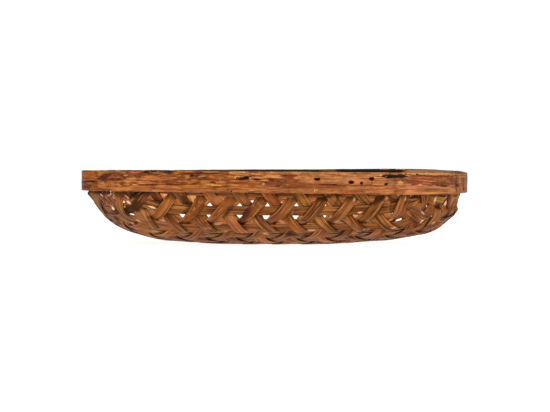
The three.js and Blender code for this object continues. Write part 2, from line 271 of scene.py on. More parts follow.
def bamboo_material(name, rough, fibre, flecks, spec=0.5, bump=0.00012, scale=1.0, coat=0.0, ior=1.45):
    """Colour from the piece's own paint, broken up by fibres along the grain, with matching roughness and relief."""
    m = bpy.data.materials.new(name)
    m.use_nodes = True
    nt = m.node_tree
    nt.nodes.clear()
    out = nt.nodes.new("ShaderNodeOutputMaterial")
    bsdf = nt.nodes.new("ShaderNodeBsdfPrincipled")
    nt.links.new(bsdf.outputs[0], out.inputs[0])
    bsdf.inputs["IOR"].default_value = ior
    bsdf.inputs["Specular IOR Level"].default_value = spec
    bsdf.inputs["Specular Tint"].default_value = (1.0, 0.84, 0.66, 1.0)
    if coat:
        bsdf.inputs["Coat Weight"].default_value = coat
        bsdf.inputs["Coat Roughness"].default_value = 0.25

    def attr(which, kind="GEOMETRY"):
        a = nt.nodes.new("ShaderNodeAttribute")
        a.attribute_type = kind
        a.attribute_name = which
        return a

    def noise_node(vec, sx, sy, detail=3.0, rough_=0.6):
        mp = nt.nodes.new("ShaderNodeMapping")
        mp.vector_type = "POINT"
        mp.inputs["Scale"].default_value = (sx * scale, sy * scale, 1.0)
        nt.links.new(vec, mp.inputs["Vector"])
        t = nt.nodes.new("ShaderNodeTexNoise")
        t.noise_dimensions = "3D"
        t.inputs["Scale"].default_value = 1.0
        t.inputs["Detail"].default_value = detail
        t.inputs["Roughness"].default_value = rough_
        nt.links.new(mp.outputs[0], t.inputs["Vector"])
        return t.outputs["Fac"]

    def math_node(op, a, b, c=None, clamp=False):
        n = nt.nodes.new("ShaderNodeMath")
        n.operation = op
        n.use_clamp = clamp
        for i, val in enumerate((a, b, c)):
            if val is None:
                continue
            if isinstance(val, (int, float)):
                n.inputs[i].default_value = val
            else:
                nt.links.new(val, n.inputs[i])
        return n.outputs[0]

    def span(v, a, b, c, d):
        n = nt.nodes.new("ShaderNodeMapRange")
        n.interpolation_type = "SMOOTHSTEP"
        n.clamp = True
        nt.links.new(v, n.inputs["Value"])
        for key, val in (("From Min", a), ("From Max", b), ("To Min", c), ("To Max", d)):
            n.inputs[key].default_value = val
        return n.outputs[0]

    grain = attr("grain").outputs["Vector"]
    paint = attr("paint").outputs["Color"]
    fine = noise_node(grain, 0.05, 2.4, 4.0, 0.65)  # fibres
    wide = noise_node(grain, 0.02, 0.7, 3.0, 0.55)  # bundles of fibres
    spots = noise_node(grain, 0.22, 0.9, 3.0, 0.7)
    bright = math_node("ADD", span(fine, 0.3, 0.72, 1 - fibre, 1 + fibre), span(wide, 0.3, 0.7, -fibre * 1.05, fibre * 1.05))
    dark = span(spots, 0.62, 0.76, 0.0, flecks)
    bright = math_node("SUBTRACT", bright, dark)
    mul = nt.nodes.new("ShaderNodeVectorMath")
    mul.operation = "SCALE"
    nt.links.new(paint, mul.inputs[0])
    nt.links.new(bright, mul.inputs["Scale"])
    warm = nt.nodes.new("ShaderNodeMix")  # pale fibres are a little yellower
    warm.data_type = "RGBA"
    warm.blend_type = "MULTIPLY"
    nt.links.new(span(wide, 0.45, 0.8, 0.0, 0.35), warm.inputs["Factor"])
    nt.links.new(mul.outputs[0], warm.inputs[6])
    warm.inputs[7].default_value = (1.0, 0.96, 0.78, 1)
    nt.links.new(warm.outputs[2], bsdf.inputs["Base Color"])
    nt.links.new(span(math_node("ADD", math_node("MULTIPLY", fine, 0.6), math_node("MULTIPLY", spots, 0.4)), 0.35, 0.7, rough[0], rough[1]), bsdf.inputs["Roughness"])
    height = math_node("ADD", math_node("MULTIPLY", fine, 0.65), math_node("MULTIPLY", wide, 0.5))
    b = nt.nodes.new("ShaderNodeBump")
    b.inputs["Strength"].default_value = 0.8
    b.inputs["Distance"].default_value = bump
    nt.links.new(height, b.inputs["Height"])
    nt.links.new(b.outputs[0], bsdf.inputs["Normal"])
    return m


SPLINT = bamboo_material("splint bamboo", (0.34, 0.6), 0.3, 0.36, spec=0.24, bump=0.00024, ior=1.2)
RIM = bamboo_material("rim bamboo", (0.36, 0.62), 0.22, 0.3, spec=0.2, bump=0.0002, ior=1.2)
INSIDE = bamboo_material("inner band bamboo", (0.4, 0.65), 0.18, 0.25, spec=0.18, bump=0.0002)

# ---------------------------------------------------------------- splints
WEAVE = [(0.0, (50, 25, 13)), (0.25, (98, 54, 27)), (0.5, (142, 84, 43)), (0.72, (178, 113, 63)), (1.0, (220, 164, 108))]


def layer(v, sign):
    k = np.floor(v / ROW)
    t = v / ROW - k
    f = 7.6 / ROW
    w = step(f, 1 - f, t)
    parity = np.where(np.abs(k) % 2 == 0, 1.0, -1.0)
    return sign * parity * PLY * (1 - 2 * w)


def under_edge(u, v, h, side, family):
    """How close a point is to the edge of another splint that lies over it, from 0 to 1. Painted shade, with some
    grime, goes there.
    """
    worst = np.zeros_like(u)
    others = []
    if family != 0:
        others.append((0.0, np.abs(v - ROW * np.round(v / ROW)) - SPLINT_W / 2))
    for way in (-1, 1):
        if way != family:
            along = np.mod(u - PHASE - way * COT * v + PITCH / 2, PITCH) - PITCH / 2
            others.append((layer(v, way), np.abs(along) / SLOPE - SPLINT_W / 2))
    for height, edge in others:
        over = step(0.2, 1.2, side * (height - h))
        worst = np.maximum(worst, over * np.exp(-((np.maximum(edge, 0) / 1.9) ** 2)))
    return worst


ELL = np.linspace(-420, 420, 1681)


def widening(o, a, b):
    """A splint keeps its width where the sheet gathers round a corner."""
    u, v = o[0] + a[0] * ELL, o[1] + a[1] * ELL
    d = middle(u + b[0] * 3, v + b[1] * 3) - middle(u - b[0] * 3, v - b[1] * 3)
    g = 1 / np.clip(np.linalg.norm(d, axis=-1) / 6, 0.68, 1.05)
    return np.convolve(np.pad(g, 30, mode="edge"), np.ones(61) / 61, mode="valid")


def edge_length(o, a, b, lat):
    """How far a line along the splint runs, from where it is nearest the middle, to the sheet's edge."""
    s = beyond(o[0] + a[0] * ELL + b[0] * lat, o[1] + a[1] * ELL + b[1] * lat)
    inside = ELL[s < REACH]
    return (None, None) if len(inside) < 4 else (inside[0], inside[-1])


def splint(name, o, a, layer_of, seed, tone, hue, family, shift=0.0, outward=1.0):
    rng = np.random.RandomState(seed)
    b = np.array([a[1], -a[0]])
    half = SPLINT_W / 2 * rng.uniform(0.97, 1.03)
    # the columns across: close together at the edges and at the long splits
    splits = []
    for c in rng.permutation(np.linspace(-0.62, 0.62, 9))[: rng.choice([2, 3, 3, 4])]:
        c = c + rng.uniform(-0.05, 0.05)
        if all(abs(c - other) > 0.2 for other in splits):
            splits.append(float(c))
    cols = [-1, -0.975, -0.93, -0.85, 0.85, 0.93, 0.975, 1] + list(np.linspace(-0.72, 0.72, 9))
    cols = [c for c in cols if all(abs(c - s) > 0.075 for s in splits)]
    for s in splits:
        cols += [s - 0.055, s - 0.022, s, s + 0.022, s + 0.055]
    cols = np.array(sorted(cols))
    wide = widening(o, a, b)
    if family:  # pushed aside a little on the front and the far wall
        over = o[1] + a[1] * ELL
        aside = shift[0] * np.exp(-(((over + 178) / 30) ** 2)) + shift[1] * np.exp(-(((over - 138) / 30) ** 2))
    else:
        aside = np.interp(ELL, *shift)
    spans = [edge_length(o, a, b, c * half * wide + aside) for c in cols]
    keep = [k for k, s in enumerate(spans) if s[0] is not None]
    if len(keep) < len(cols):  # a splint at the very corner is only part of its width
        lo, hi = cols[keep[0]], cols[keep[-1]]
        cols = cols[keep]
        spans = [spans[k] for k in keep]
        edge_c = np.where(cols < (lo + hi) / 2, (cols - lo), (hi - cols))
    else:
        edge_c = 1 - np.abs(cols)
    start, end = np.array([s[0] for s in spans]), np.array([s[1] for s in spans])
    n = max(24, int((end - start).max() / 2.3))
    t = np.linspace(0, 1, n)[:, None]
    ell = start[None] + (end - start)[None] * t
    C = np.broadcast_to(cols[None], ell.shape)
    E = np.broadcast_to(edge_c[None], ell.shape)
    key = seed * 7.31
    # edges wander a little, and are nicked here and there
    rag = (noise(ell / 9, np.where(C > 0, 3.3, 9.1) + key, 3) - 0.5) * 0.5 + (fbm(ell / 40, np.where(C > 0, 5.0, 7.0) + key, 5) - 0.5) * 0.9
    lat = C * half * np.interp(ell, ELL, wide) + np.interp(ell, ELL, aside)
    lat = lat + np.sign(C) * rag * np.abs(C) ** 3 + (fbm(ell / 120, key, 8) - 0.5) * 1.6
    u = o[0] + a[0] * ell + b[0] * lat
    v = o[1] + a[1] * ell + b[1] * lat
    base = layer_of(u, v)
    lift = (fbm(ell / 55, key + 20, 11) - 0.5) * 0.35
    twist = (fbm(ell / 70, key + 40, 12) - 0.5) * 0.5 * C
    cup = 0.13 * (1 - C**2) * outward
    # half thickness, rounded off at the edges
    round_off = np.sqrt(np.clip(1 - (1 - np.clip(E / 0.14, 0, 1)) ** 2.2, 0.03, 1))
    thick = SPLINT_T / 2 * (0.98 + 0.1 * (fbm(ell / 30, key + 3, 14) - 0.5)) * round_off
    deep = np.zeros_like(ell)
    for k, s in enumerate(splits):
        open_ = step(0.38, 0.62, fbm(ell / 60, key + 60 + k * 3, 21))
        deep += np.exp(-(((C - s) / 0.02) ** 2)) * open_
    strands = (noise(lat * 1.1, ell / 90 + key, 31) - 0.5) * 0.12 + (noise(lat * 2.6, ell / 60 + key, 32) - 0.5) * 0.06
    joints = [rng.uniform(-330, 330) for _ in range(2)]
    knot = sum(np.exp(-(((ell - q - C * 1.0) / 1.3) ** 2)) for q in joints)
    dent = sum(np.exp(-(((ell - q - 3.2 - C * 1.0) / 1.6) ** 2)) for q in joints)
    top = base + lift + twist + cup + thick + strands * round_off - 0.5 * deep + 0.28 * knot - 0.12 * dent
    low = base + lift + twist + cup * 0.7 - thick + strands * 0.4 + 0.2 * deep
    if outward > 0:
        outer, inner = top, low
    else:
        outer, inner = top, low
    P = warp(slip(settle(on_sheet(u, v, outer))))
    Q = warp(slip(settle(on_sheet(u, v, inner))))
    k = len(cols)
    pts = np.concatenate([P, Q[:, ::-1]], 1)  # ring: outer face one way, inner face back
    pts[..., 2] = np.maximum(pts[..., 2], 0.02)
    # ---- paint
    between = np.zeros_like(ell)
    for j, s in enumerate(sorted(splits)):
        between = np.where(C > s, rng.uniform(-0.2, 0.2), between)

    def colour(side):
        tau = tone + between + (fbm(ell / 75, lat / 5 + key, 41) - 0.5) * 0.5 + (fbm(ell / 30, lat / 1.3 + key, 43) - 0.5) * 0.42
        tau = tau + (0.16 if side < 0 else 0.0)
        p = ramp(np.clip(tau, 0, 1), WEAVE) * np.array(hue)
        if side < 0:
            # painted light: inner faces of the far wall and the left end made lighter and paler, with painted
            # highlights as pale glints
            pale = 0.6 * step(60, 110, v) + 0.4 * step(-120, -190, u) * step(110, 60, v)
            p = p * np.array([1.14, 1.0, 0.82]) * (1 + 0.5 * pale)[..., None]
            p = blend_to(p, (226, 160, 108), pale * 0.5)
            glint = step(0.6, 0.72, noise(lat * 1.3 + key, ell / 26 + key, 64)) * step(0.45, 0.6, fbm(ell / 18, lat / 5 + key, 65))
            p = blend_to(p, (250, 226, 200), glint * pale * 0.8)
        worn = step(0.80, 0.97, np.abs(C)) * step(0.5, 0.7, fbm(ell / 28, np.sign(C) * 4 + key, 47))
        p = blend_to(p, (206, 160, 112), worn * 0.75)
        dirty = step(0.86, 1.0, np.abs(C)) * step(0.46, 0.6, fbm(ell / 22, np.sign(C) * 9 + key + 3, 49))
        p = blend_to(p, (52, 28, 17), dirty * 0.6)
        stain = step(0.6, 0.78, fbm(ell / 26, lat / 9 + key, 53))
        p = blend_to(p, (70, 38, 24), stain * 0.5)
        sun = step(0.62, 0.8, fbm(ell / 34, lat / 6 + key + 11, 57))
        p = blend_to(p, (196, 128, 74), sun * 0.4)
        lines = step(0.6, 0.72, noise(lat * 1.6 + key, ell / 110 + key, 59)) * step(0.3, 0.5, fbm(ell / 40, lat / 3 + key, 58))
        p = blend_to(p, (58, 32, 20), lines * 0.42)
        hair = step(0.66, 0.8, noise(lat * 2.1 + key + 7, ell / 70 + key, 60))
        p = blend_to(p, (214, 160, 108), hair * 0.45)
        # painted shade in the open splits
        p = blend_to(p, (30, 15, 9), np.clip(deep, 0, 1) * (0.95 if side > 0 else 0.5))
        # painted shade with some grime: darker where another splint's edge lies over this one
        shade_and_grime = under_edge(u, v, base, side, family) * (0.6 + 0.4 * fbm(ell / 12, lat / 4 + key, 62))
        p = blend_to(p, (34, 17, 10), shade_and_grime * 0.8)
        # painted shade, with some dirt, along both edges of the splint
        p = blend_to(p, (60, 32, 19), step(0.9, 1.0, np.abs(C)) * 0.45)
        p = blend_to(p, (74, 42, 26), np.clip(dent, 0, 1) * 0.5)
        p = blend_to(p, (190, 140, 92), np.clip(knot, 0, 1) * 0.35)
        px, py = seen_at(P if side > 0 else Q)
        if side > 0:
            # painted shade: outer faces of splints lying behind others, on the front just under the rim, darkened
            p = p * (1 - 0.34 * step(0.6, -0.8, base) * step(206, 199, py) * step(-130, -160, v + 0 * u))[..., None]
        else:
            # painted light: inner faces of the far wall just under the rim brightened and warmed, most on the left
            p = p * (1 + (1 + 1.6 * step(272, 256, px))[..., None] * np.array([0.26, 0.16, 0.05]) * (step(100, 130, v + 0 * u) * step(206, 201, py))[..., None])
        front_side = np.maximum(step(-100, -130, v + 0 * u), step(190, 215, np.abs(u)) * step(40, 0, v + 0 * u)) if side > 0 else 0.0
        far_side = 0.0 if side > 0 else np.maximum(step(20, 50, v + 0 * u), step(185, 205, np.abs(u)) * step(-90, -50, v + 0 * u))
        wob = (fbm(ell / 8, lat / 1.6 + key, 67) - 0.5) * 1.1
        return spotted(p, px, py, front_side, far_side, wob)

    paint = np.concatenate([colour(1), colour(-1)[:, ::-1]], 1)
    g = np.stack([ell + key * 13, lat + key * 3.7, np.full_like(ell, 2.0)], -1)
    g2 = np.stack([ell + key * 13 + 400, lat + key * 3.7 + 50, np.full_like(ell, 7.0)], -1)
    grain = np.concatenate([g, g2[:, ::-1]], 1)
    faces = ring_faces(n, 2 * k)
    for row, flip in ((0, True), (n - 1, False)):
        for j in range(k - 1):
            q = [row * 2 * k + j, row * 2 * k + j + 1, row * 2 * k + 2 * k - 2 - j, row * 2 * k + 2 * k - 1 - j]
            faces.append(q[::-1] if flip else q)
    return finish_piece(name, pts.reshape(-1, 3), faces, paint.reshape(-1, 3), grain.reshape(-1, 3), SPLINT)


SLOTS = {"long": "splint_dark", "right": "splint_light", "left": "splint_mid", "outer": "rim", "inner": "rim"}


def finish_piece(name, pts, faces, paint, grain, material):
    # faces point outwards if the signed volume is positive
    f = np.array([q[:3] for q in faces] + [[q[0], q[2], q[3]] for q in faces if len(q) == 4])
    centre = pts.mean(0)
    a, b, c = (pts[f[:, i]] - centre for i in range(3))
    if np.einsum("ij,ij->i", a, np.cross(b, c)).sum() < 0:
        faces = [q[::-1] for q in faces]
    slot = next((s for key, s in SLOTS.items() if name.startswith(key)), "nail")
    return make_object(name + ".shown", pts, faces, paint, grain, name, slot, material, sharp=None)


rng_tone = np.random.RandomState(77)
HUES = [(1.0, 1.0, 1.0), (1.08, 0.97, 0.82), (0.97, 0.97, 1.08), (1.05, 1.0, 0.78), (1.03, 0.93, 1.0), (0.95, 1.0, 0.86)]
# how light each splint is and which hue it has, where it shows on the front wall
TONES = {
    -1: {-8: (0.30, 5), -7: (0.62, 1), -6: (0.62, 3), -5: (0.52, 1), -4: (0.36, 4), -3: (0.53, 2), -2: (0.42, 4), -1: (0.53, 0), 0: (0.38, 5), 1: (0.53, 0), 2: (0.46, 2)},
    1: {-3: (0.42, 3), -2: (0.60, 3), -1: (0.46, 0), 0: (0.28, 4), 1: (0.5, 2), 2: (0.68, 4), 3: (0.62, 2), 4: (0.6, 1), 5: (0.43, 5), 6: (0.5, 0), 7: (0.62, 3), 8: (0.43, 4), 9: (0.54, 5)},
}
# rows that don't lie quite evenly: places along the row and how far it lies aside there, in mm
WAVES = {
    -7: ([-200, 200], [0.8, 0.8]),
    -6: ([-200, 200], [-1.2, -1.2]),
    -5: ([-200, 200], [3.0, 3.0]),
    4: ([-200, 200], [-7.0, -7.0]),
    5: ([-200, 200], [-2.2, -2.2]),
    6: ([-300, -140, -120, -100, -78, -50, -33, -10, 12, 100, 300], [3, 2, 0.5, 3.5, 4.5, 4.5, 3.2, 4.5, 6.0, 4.5, 3]),
}
# how far a splint is pushed aside on the front wall, in mm, and on the far wall
BENDS = {-1: {-6: 6.0, -5: -3.0, -4: -1.5, 2: 4.5}, 1: {8: 3.5}}
FAR_BENDS = {-1: {1: 3.0, 2: -3.0, 3: -3.0}, 1: {-5: -3.0, -4: 3.5, -3: 3.5, -2: -2.0}}


# Darker and paler places on the weave, by where they lie in the picture: the splints' own tones, painted shadows in
# gaps and just under the rim, painted highlights as pale glints, and painted light on far inner faces:
# (which faces, x, y, half length, half width, lean in degrees, colour, strength)
WEAVE_TONES_SHADOWS_AND_GLINTS = [
    ("near", 133.5, 208.0, 11.0, 6.0, -40, (66, 38, 22), 0.93),
    ("near", 146.0, 197.5, 5.5, 4.0, -40, (124, 84, 56), 0.75),
    ("near", 139.5, 204.5, 3.5, 3.4, -40, (84, 62, 32), 0.55),
    ("far", 131.0, 206.0, 7.0, 4.0, -40, (74, 44, 27), 0.8),
    ("far", 164.6, 194.6, 2.4, 1.7, 0, (285, 240, 212), 0.85),
    ("far", 193.0, 196.8, 1.7, 1.8, 0, (280, 232, 205), 0.8),
    ("far", 176.5, 202.0, 3.0, 2.0, 0, (176, 108, 66), 0.7),
    ("far", 149.0, 197.5, 4.0, 2.6, 0, (178, 112, 74), 0.6),
    ("near", 225.0, 199.5, 28.0, 6.5, 0, (190, 122, 74), 0.34),
    ("any", 425.0, 211.0, 26.0, 8.0, 0, (176, 114, 84), 0.24),
    ("any", 152.0, 227.0, 34.0, 9.0, 8, (184, 124, 88), 0.22),
    ("any", 146.0, 213.0, 6.0, 2.6, 30, (196, 136, 92), 0.55),
    ("any", 132.0, 219.0, 5.0, 2.4, 30, (180, 122, 86), 0.5),
    ("near", 108.5, 203.0, 4.4, 9.0, 0, (170, 104, 68), 0.7),
    ("any", 112.6, 207.5, 3.2, 0.9, 55, (290, 262, 240), 0.9),
    ("any", 113.4, 196.5, 2.6, 0.8, 80, (280, 240, 210), 0.8),
    ("any", 108.8, 194.8, 4.4, 0.8, -28, (270, 220, 180), 0.8),
    ("near", 101.0, 202.0, 2.6, 9.0, 6, (120, 64, 34), 0.7),
    ("any", 105.0, 200.0, 1.0, 7.0, 0, (92, 40, 32), 0.7),
    ("any", 124.3, 206.5, 1.0, 1.8, 0, (280, 250, 220), 0.8),
    ("any", 128.0, 201.8, 4.0, 1.2, 45, (280, 228, 200), 0.85),
    ("any", 127.0, 197.0, 3.6, 0.8, 42, (260, 196, 160), 0.7),
    ("any", 133.6, 214.5, 1.3, 0.8, 0, (280, 230, 205), 0.8),
    ("any", 138.5, 220.6, 3.2, 0.8, 28, (270, 210, 175), 0.8),
    ("any", 133.0, 224.0, 2.8, 0.8, 38, (270, 205, 170), 0.75),
    ("any", 152.0, 207.3, 4.2, 0.8, 18, (290, 240, 200), 0.85),
    ("any", 151.5, 211.4, 1.6, 0.9, 0, (275, 220, 185), 0.8),
    ("any", 163.2, 220.6, 2.0, 1.0, 0, (285, 235, 210), 0.8),
    ("any", 141.0, 216.0, 7.0, 4.0, 25, (186, 128, 88), 0.55),
    ("any", 134.0, 194.6, 5.5, 2.0, 15, (44, 26, 14), 0.8),
    ("any", 145.0, 192.6, 8.0, 0.8, 0, (52, 30, 18), 0.7),
    ("any", 133.5, 196.5, 4.0, 1.5, 30, (50, 30, 14), 0.7),
    ("any", 394.3, 227.7, 3.6, 0.8, -10, (280, 236, 205), 0.85),
    ("any", 355.0, 216.0, 3.2, 1.3, 0, (285, 235, 205), 0.85),
    ("any", 360.0, 212.4, 2.8, 0.8, -8, (280, 225, 195), 0.8),
    ("any", 354.2, 199.5, 1.0, 2.6, 15, (285, 235, 205), 0.8),
    ("any", 386.5, 198.6, 2.0, 1.4, -30, (240, 190, 150), 0.7),
    ("any", 415.0, 204.0, 4.8, 0.8, -52, (224, 154, 114), 0.65),
    ("any", 412.0, 199.6, 5.0, 0.8, -4, (206, 136, 104), 0.6),
    ("any", 390.5, 220.2, 3.0, 0.8, -25, (270, 216, 186), 0.75),
    ("near", 385.0, 217.0, 5.2, 0.9, 52, (48, 24, 14), 0.8),
    ("near", 413.5, 215.5, 4.6, 0.9, 45, (54, 28, 18), 0.75),
    ("near", 417.5, 226.2, 5.0, 0.9, -28, (52, 26, 18), 0.8),
    ("near", 427.5, 216.5, 3.2, 0.8, 28, (60, 28, 16), 0.7),
    ("near", 373.5, 196.4, 3.6, 1.3, 0, (50, 28, 18), 0.8),
    ("near", 342.0, 208.0, 8.0, 0.8, -58, (200, 138, 98), 0.55),
    ("near", 399.0, 204.0, 8.0, 0.8, -62, (196, 130, 92), 0.55),
    ("any", 421.5, 221.8, 2.9, 0.75, -38, (280, 228, 200), 0.85),
    ("any", 422.5, 212.8, 2.6, 0.9, 45, (270, 206, 178), 0.75),
    ("any", 434.8, 200.2, 3.2, 0.9, -70, (290, 240, 215), 0.9),
    ("any", 445.5, 203.5, 2.6, 1.0, -70, (285, 225, 200), 0.85),
    ("any", 446.5, 197.0, 1.0, 2.0, 0, (270, 215, 190), 0.7),
    ("any", 410.0, 211.2, 1.8, 0.7, -30, (270, 206, 178), 0.7),
    ("any", 405.5, 199.0, 0.8, 1.6, 0, (270, 215, 185), 0.7),
    ("any", 433.5, 222.8, 3.0, 0.6, -30, (256, 186, 150), 0.6),
    ("any", 429.0, 207.0, 7.0, 4.2, 62, (160, 92, 48), 0.5),
    ("any", 371.0, 221.5, 4.0, 1.4, 10, (224, 168, 140), 0.6),
    ("any", 300.5, 222.2, 4.0, 1.0, 0, (214, 154, 122), 0.55),
    ("any", 354.5, 233.0, 3.0, 1.0, -10, (220, 164, 134), 0.55),
    ("any", 345.0, 221.0, 4.0, 1.8, 40, (190, 134, 102), 0.5),
    ("any", 297.0, 238.6, 6.0, 0.9, 0, (206, 150, 120), 0.6),
    ("any", 376.0, 233.5, 6.0, 1.2, -6, (186, 130, 98), 0.5),
    ("any", 404.0, 216.0, 7.0, 6.0, 40, (158, 94, 64), 0.5),
    ("any", 396.0, 222.4, 4.6, 0.9, -4, (196, 116, 72), 0.6),
    ("any", 208.0, 228.3, 5.0, 1.0, 0, (214, 150, 112), 0.55),
    ("any", 184.0, 233.4, 5.0, 1.6, 0, (190, 140, 96), 0.5),
    ("any", 218.0, 224.0, 3.4, 1.2, -10, (246, 200, 168), 0.75),
    ("any", 251.5, 222.0, 2.2, 1.3, 0, (226, 168, 130), 0.7),
    ("any", 231.0, 217.0, 3.0, 3.6, 20, (206, 146, 112), 0.5),
    ("any", 155.0, 231.0, 5.0, 1.2, 0, (236, 172, 132), 0.6),
    ("any", 147.0, 231.5, 8.0, 2.2, 6, (176, 114, 80), 0.5),
    ("near", 186.0, 201.0, 8.5, 3.0, 52, (66, 34, 20), 0.85),
    ("near", 246.0, 215.0, 11.0, 3.0, -58, (76, 40, 26), 0.8),
    ("near", 326.0, 197.5, 8.0, 2.6, -20, (60, 30, 20), 0.75),
    ("near", 378.0, 200.0, 9.5, 3.4, -40, (70, 42, 24), 0.8),
    ("near", 414.0, 197.0, 6.0, 1.8, -8, (44, 22, 15), 0.9),
    ("near", 336.0, 203.0, 5.0, 1.6, -60, (86, 44, 28), 0.6),
    ("near", 180.0, 197.0, 3.0, 1.6, 50, (90, 60, 34), 0.5),
    ("near", 145.0, 226.0, 9.0, 2.6, 40, (168, 112, 72), 0.5),
    ("near", 232.0, 221.0, 8.0, 2.4, 48, (170, 112, 78), 0.55),
    ("near", 269.0, 221.0, 7.0, 1.8, 50, (160, 112, 84), 0.5),
    ("near", 225.0, 207.0, 12.0, 2.2, -56, (170, 104, 60), 0.45),
    ("near", 287.0, 204.0, 12.0, 2.2, -58, (178, 112, 72), 0.5),
    ("near", 348.0, 204.0, 11.0, 2.2, -55, (168, 104, 64), 0.5),
    ("near", 434.0, 205.0, 10.0, 3.0, 58, (176, 108, 56), 0.6),
    ("near", 202.0, 232.0, 12.0, 3.0, -20, (140, 96, 66), 0.4),
    ("any", 250.0, 231.0, 8.0, 1.4, 0, (196, 136, 104), 0.6),
    ("any", 224.0, 231.5, 6.0, 1.2, -6, (220, 160, 124), 0.65),
    ("any", 265.5, 233.5, 4.0, 1.2, 10, (250, 196, 160), 0.75),
    ("any", 311.0, 230.5, 5.0, 1.2, -8, (244, 190, 160), 0.75),
    ("any", 282.0, 221.8, 3.6, 1.4, 25, (250, 190, 158), 0.75),
    ("any", 337.5, 222.3, 4.6, 1.4, 0, (236, 178, 146), 0.7),
    ("any", 366.0, 229.5, 3.0, 1.0, -10, (250, 200, 172), 0.7),
    ("near", 437.5, 206.5, 3.4, 3.4, 0, (26, 13, 9), 0.9),
    ("near", 453.0, 200.0, 5.5, 1.0, -75, (216, 150, 112), 0.6),
    ("near", 429.0, 226.5, 5.0, 1.4, -25, (60, 34, 22), 0.7),
    ("near", 406.0, 233.5, 5.0, 1.2, 5, (84, 40, 30), 0.7),
    ("near", 291.0, 234.5, 8.0, 1.5, 8, (52, 30, 16), 0.8),
    ("near", 305.0, 235.5, 4.5, 1.3, -25, (44, 24, 18), 0.8),
    ("near", 350.5, 237.0, 3.5, 1.2, 10, (40, 22, 14), 0.8),
    ("near", 361.0, 233.0, 8.0, 1.2, -32, (44, 24, 16), 0.8),
    ("near", 243.0, 223.5, 4.0, 1.5, 10, (36, 16, 14), 0.85),
    ("near", 277.0, 223.0, 4.5, 1.5, 5, (36, 16, 14), 0.85),
    ("near", 210.0, 223.0, 4.0, 1.0, 5, (58, 26, 18), 0.7),
    ("near", 133.0, 229.5, 4.0, 1.2, 15, (44, 20, 12), 0.8),
    ("near", 107.0, 212.5, 3.4, 1.0, 15, (44, 22, 14), 0.7),
    ("near", 117.0, 224.5, 3.0, 1.4, 40, (44, 22, 14), 0.7),
    ("near", 208.0, 240.0, 4.0, 0.9, 5, (52, 30, 20), 0.6),
    ("near", 241.0, 240.3, 4.0, 1.0, 5, (52, 30, 20), 0.6),
    ("far", 110.0, 203.0, 8.0, 9.0, 0, (190, 124, 84), 0.6),
    ("far", 129.0, 200.0, 5.0, 5.0, 40, (206, 130, 84), 0.7),
    ("far", 133.0, 197.0, 4.0, 1.0, 30, (240, 200, 170), 0.7),
    ("far", 148.0, 212.0, 12.0, 11.0, 0, (226, 164, 118), 0.6),
    ("far", 165.5, 218.0, 4.0, 1.4, 45, (248, 216, 192), 0.85),
    ("far", 162.5, 220.5, 4.0, 1.2, 5, (240, 190, 160), 0.75),
    ("far", 133.0, 224.0, 4.0, 1.2, 35, (230, 180, 146), 0.6),
    ("far", 185.0, 194.5, 3.4, 2.0, 20, (240, 176, 130), 0.8),
    ("far", 191.0, 202.5, 5.0, 1.2, 55, (255, 226, 200), 0.85),
    ("far", 196.0, 196.5, 1.6, 2.6, 0, (255, 216, 184), 0.8),
    ("far", 206.5, 201.0, 4.6, 1.2, -60, (240, 186, 136), 0.7),
    ("far", 219.0, 196.0, 6.0, 3.6, 0, (224, 146, 92), 0.8),
    ("far", 231.5, 201.0, 5.0, 3.0, 0, (216, 140, 80), 0.7),
    ("far", 249.0, 196.5, 6.0, 3.4, 0, (232, 132, 70), 0.8),
    ("far", 276.0, 200.0, 6.0, 4.0, 0, (204, 116, 62), 0.7),
    ("far", 300.0, 199.0, 5.0, 4.0, 0, (206, 146, 72), 0.7),
    ("far", 310.5, 197.0, 5.0, 4.0, 0, (210, 122, 70), 0.75),
    ("far", 342.0, 197.0, 4.0, 4.0, 0, (206, 128, 76), 0.7),
    ("far", 358.5, 199.0, 4.6, 3.4, 0, (230, 170, 96), 0.8),
    ("far", 386.0, 199.5, 4.6, 3.4, 0, (196, 128, 84), 0.75),
    ("far", 402.0, 201.0, 5.0, 5.0, 0, (182, 110, 72), 0.65),
    ("far", 407.0, 197.5, 3.0, 1.4, 30, (236, 186, 150), 0.8),
    ("far", 382.0, 212.0, 3.4, 1.3, -20, (240, 190, 160), 0.8),
    ("far", 359.5, 212.7, 3.0, 1.0, -10, (248, 214, 190), 0.8),
    ("far", 393.0, 219.0, 6.0, 1.6, -32, (244, 206, 180), 0.85),
    ("far", 410.0, 211.5, 2.0, 1.0, 0, (244, 200, 170), 0.75),
    ("far", 423.0, 213.0, 2.4, 1.6, 30, (240, 190, 160), 0.8),
]


def spotted(paint, px, py, near, far, wob):
    for where, x, y, w, h, lean, rgb, strong in WEAVE_TONES_SHADOWS_AND_GLINTS:
        a = math.radians(lean)
        dx, dy = px - x, py - y
        ex, ey = (dx * math.cos(a) + dy * math.sin(a)) / w, (-dx * math.sin(a) + dy * math.cos(a)) / h
        m = step(1.15, 0.7, np.hypot(ex, ey) + wob) * strong
        paint = blend_to(paint, rgb, m * (near if where == "near" else far if where == "far" else np.maximum(near, far)))
    return paint


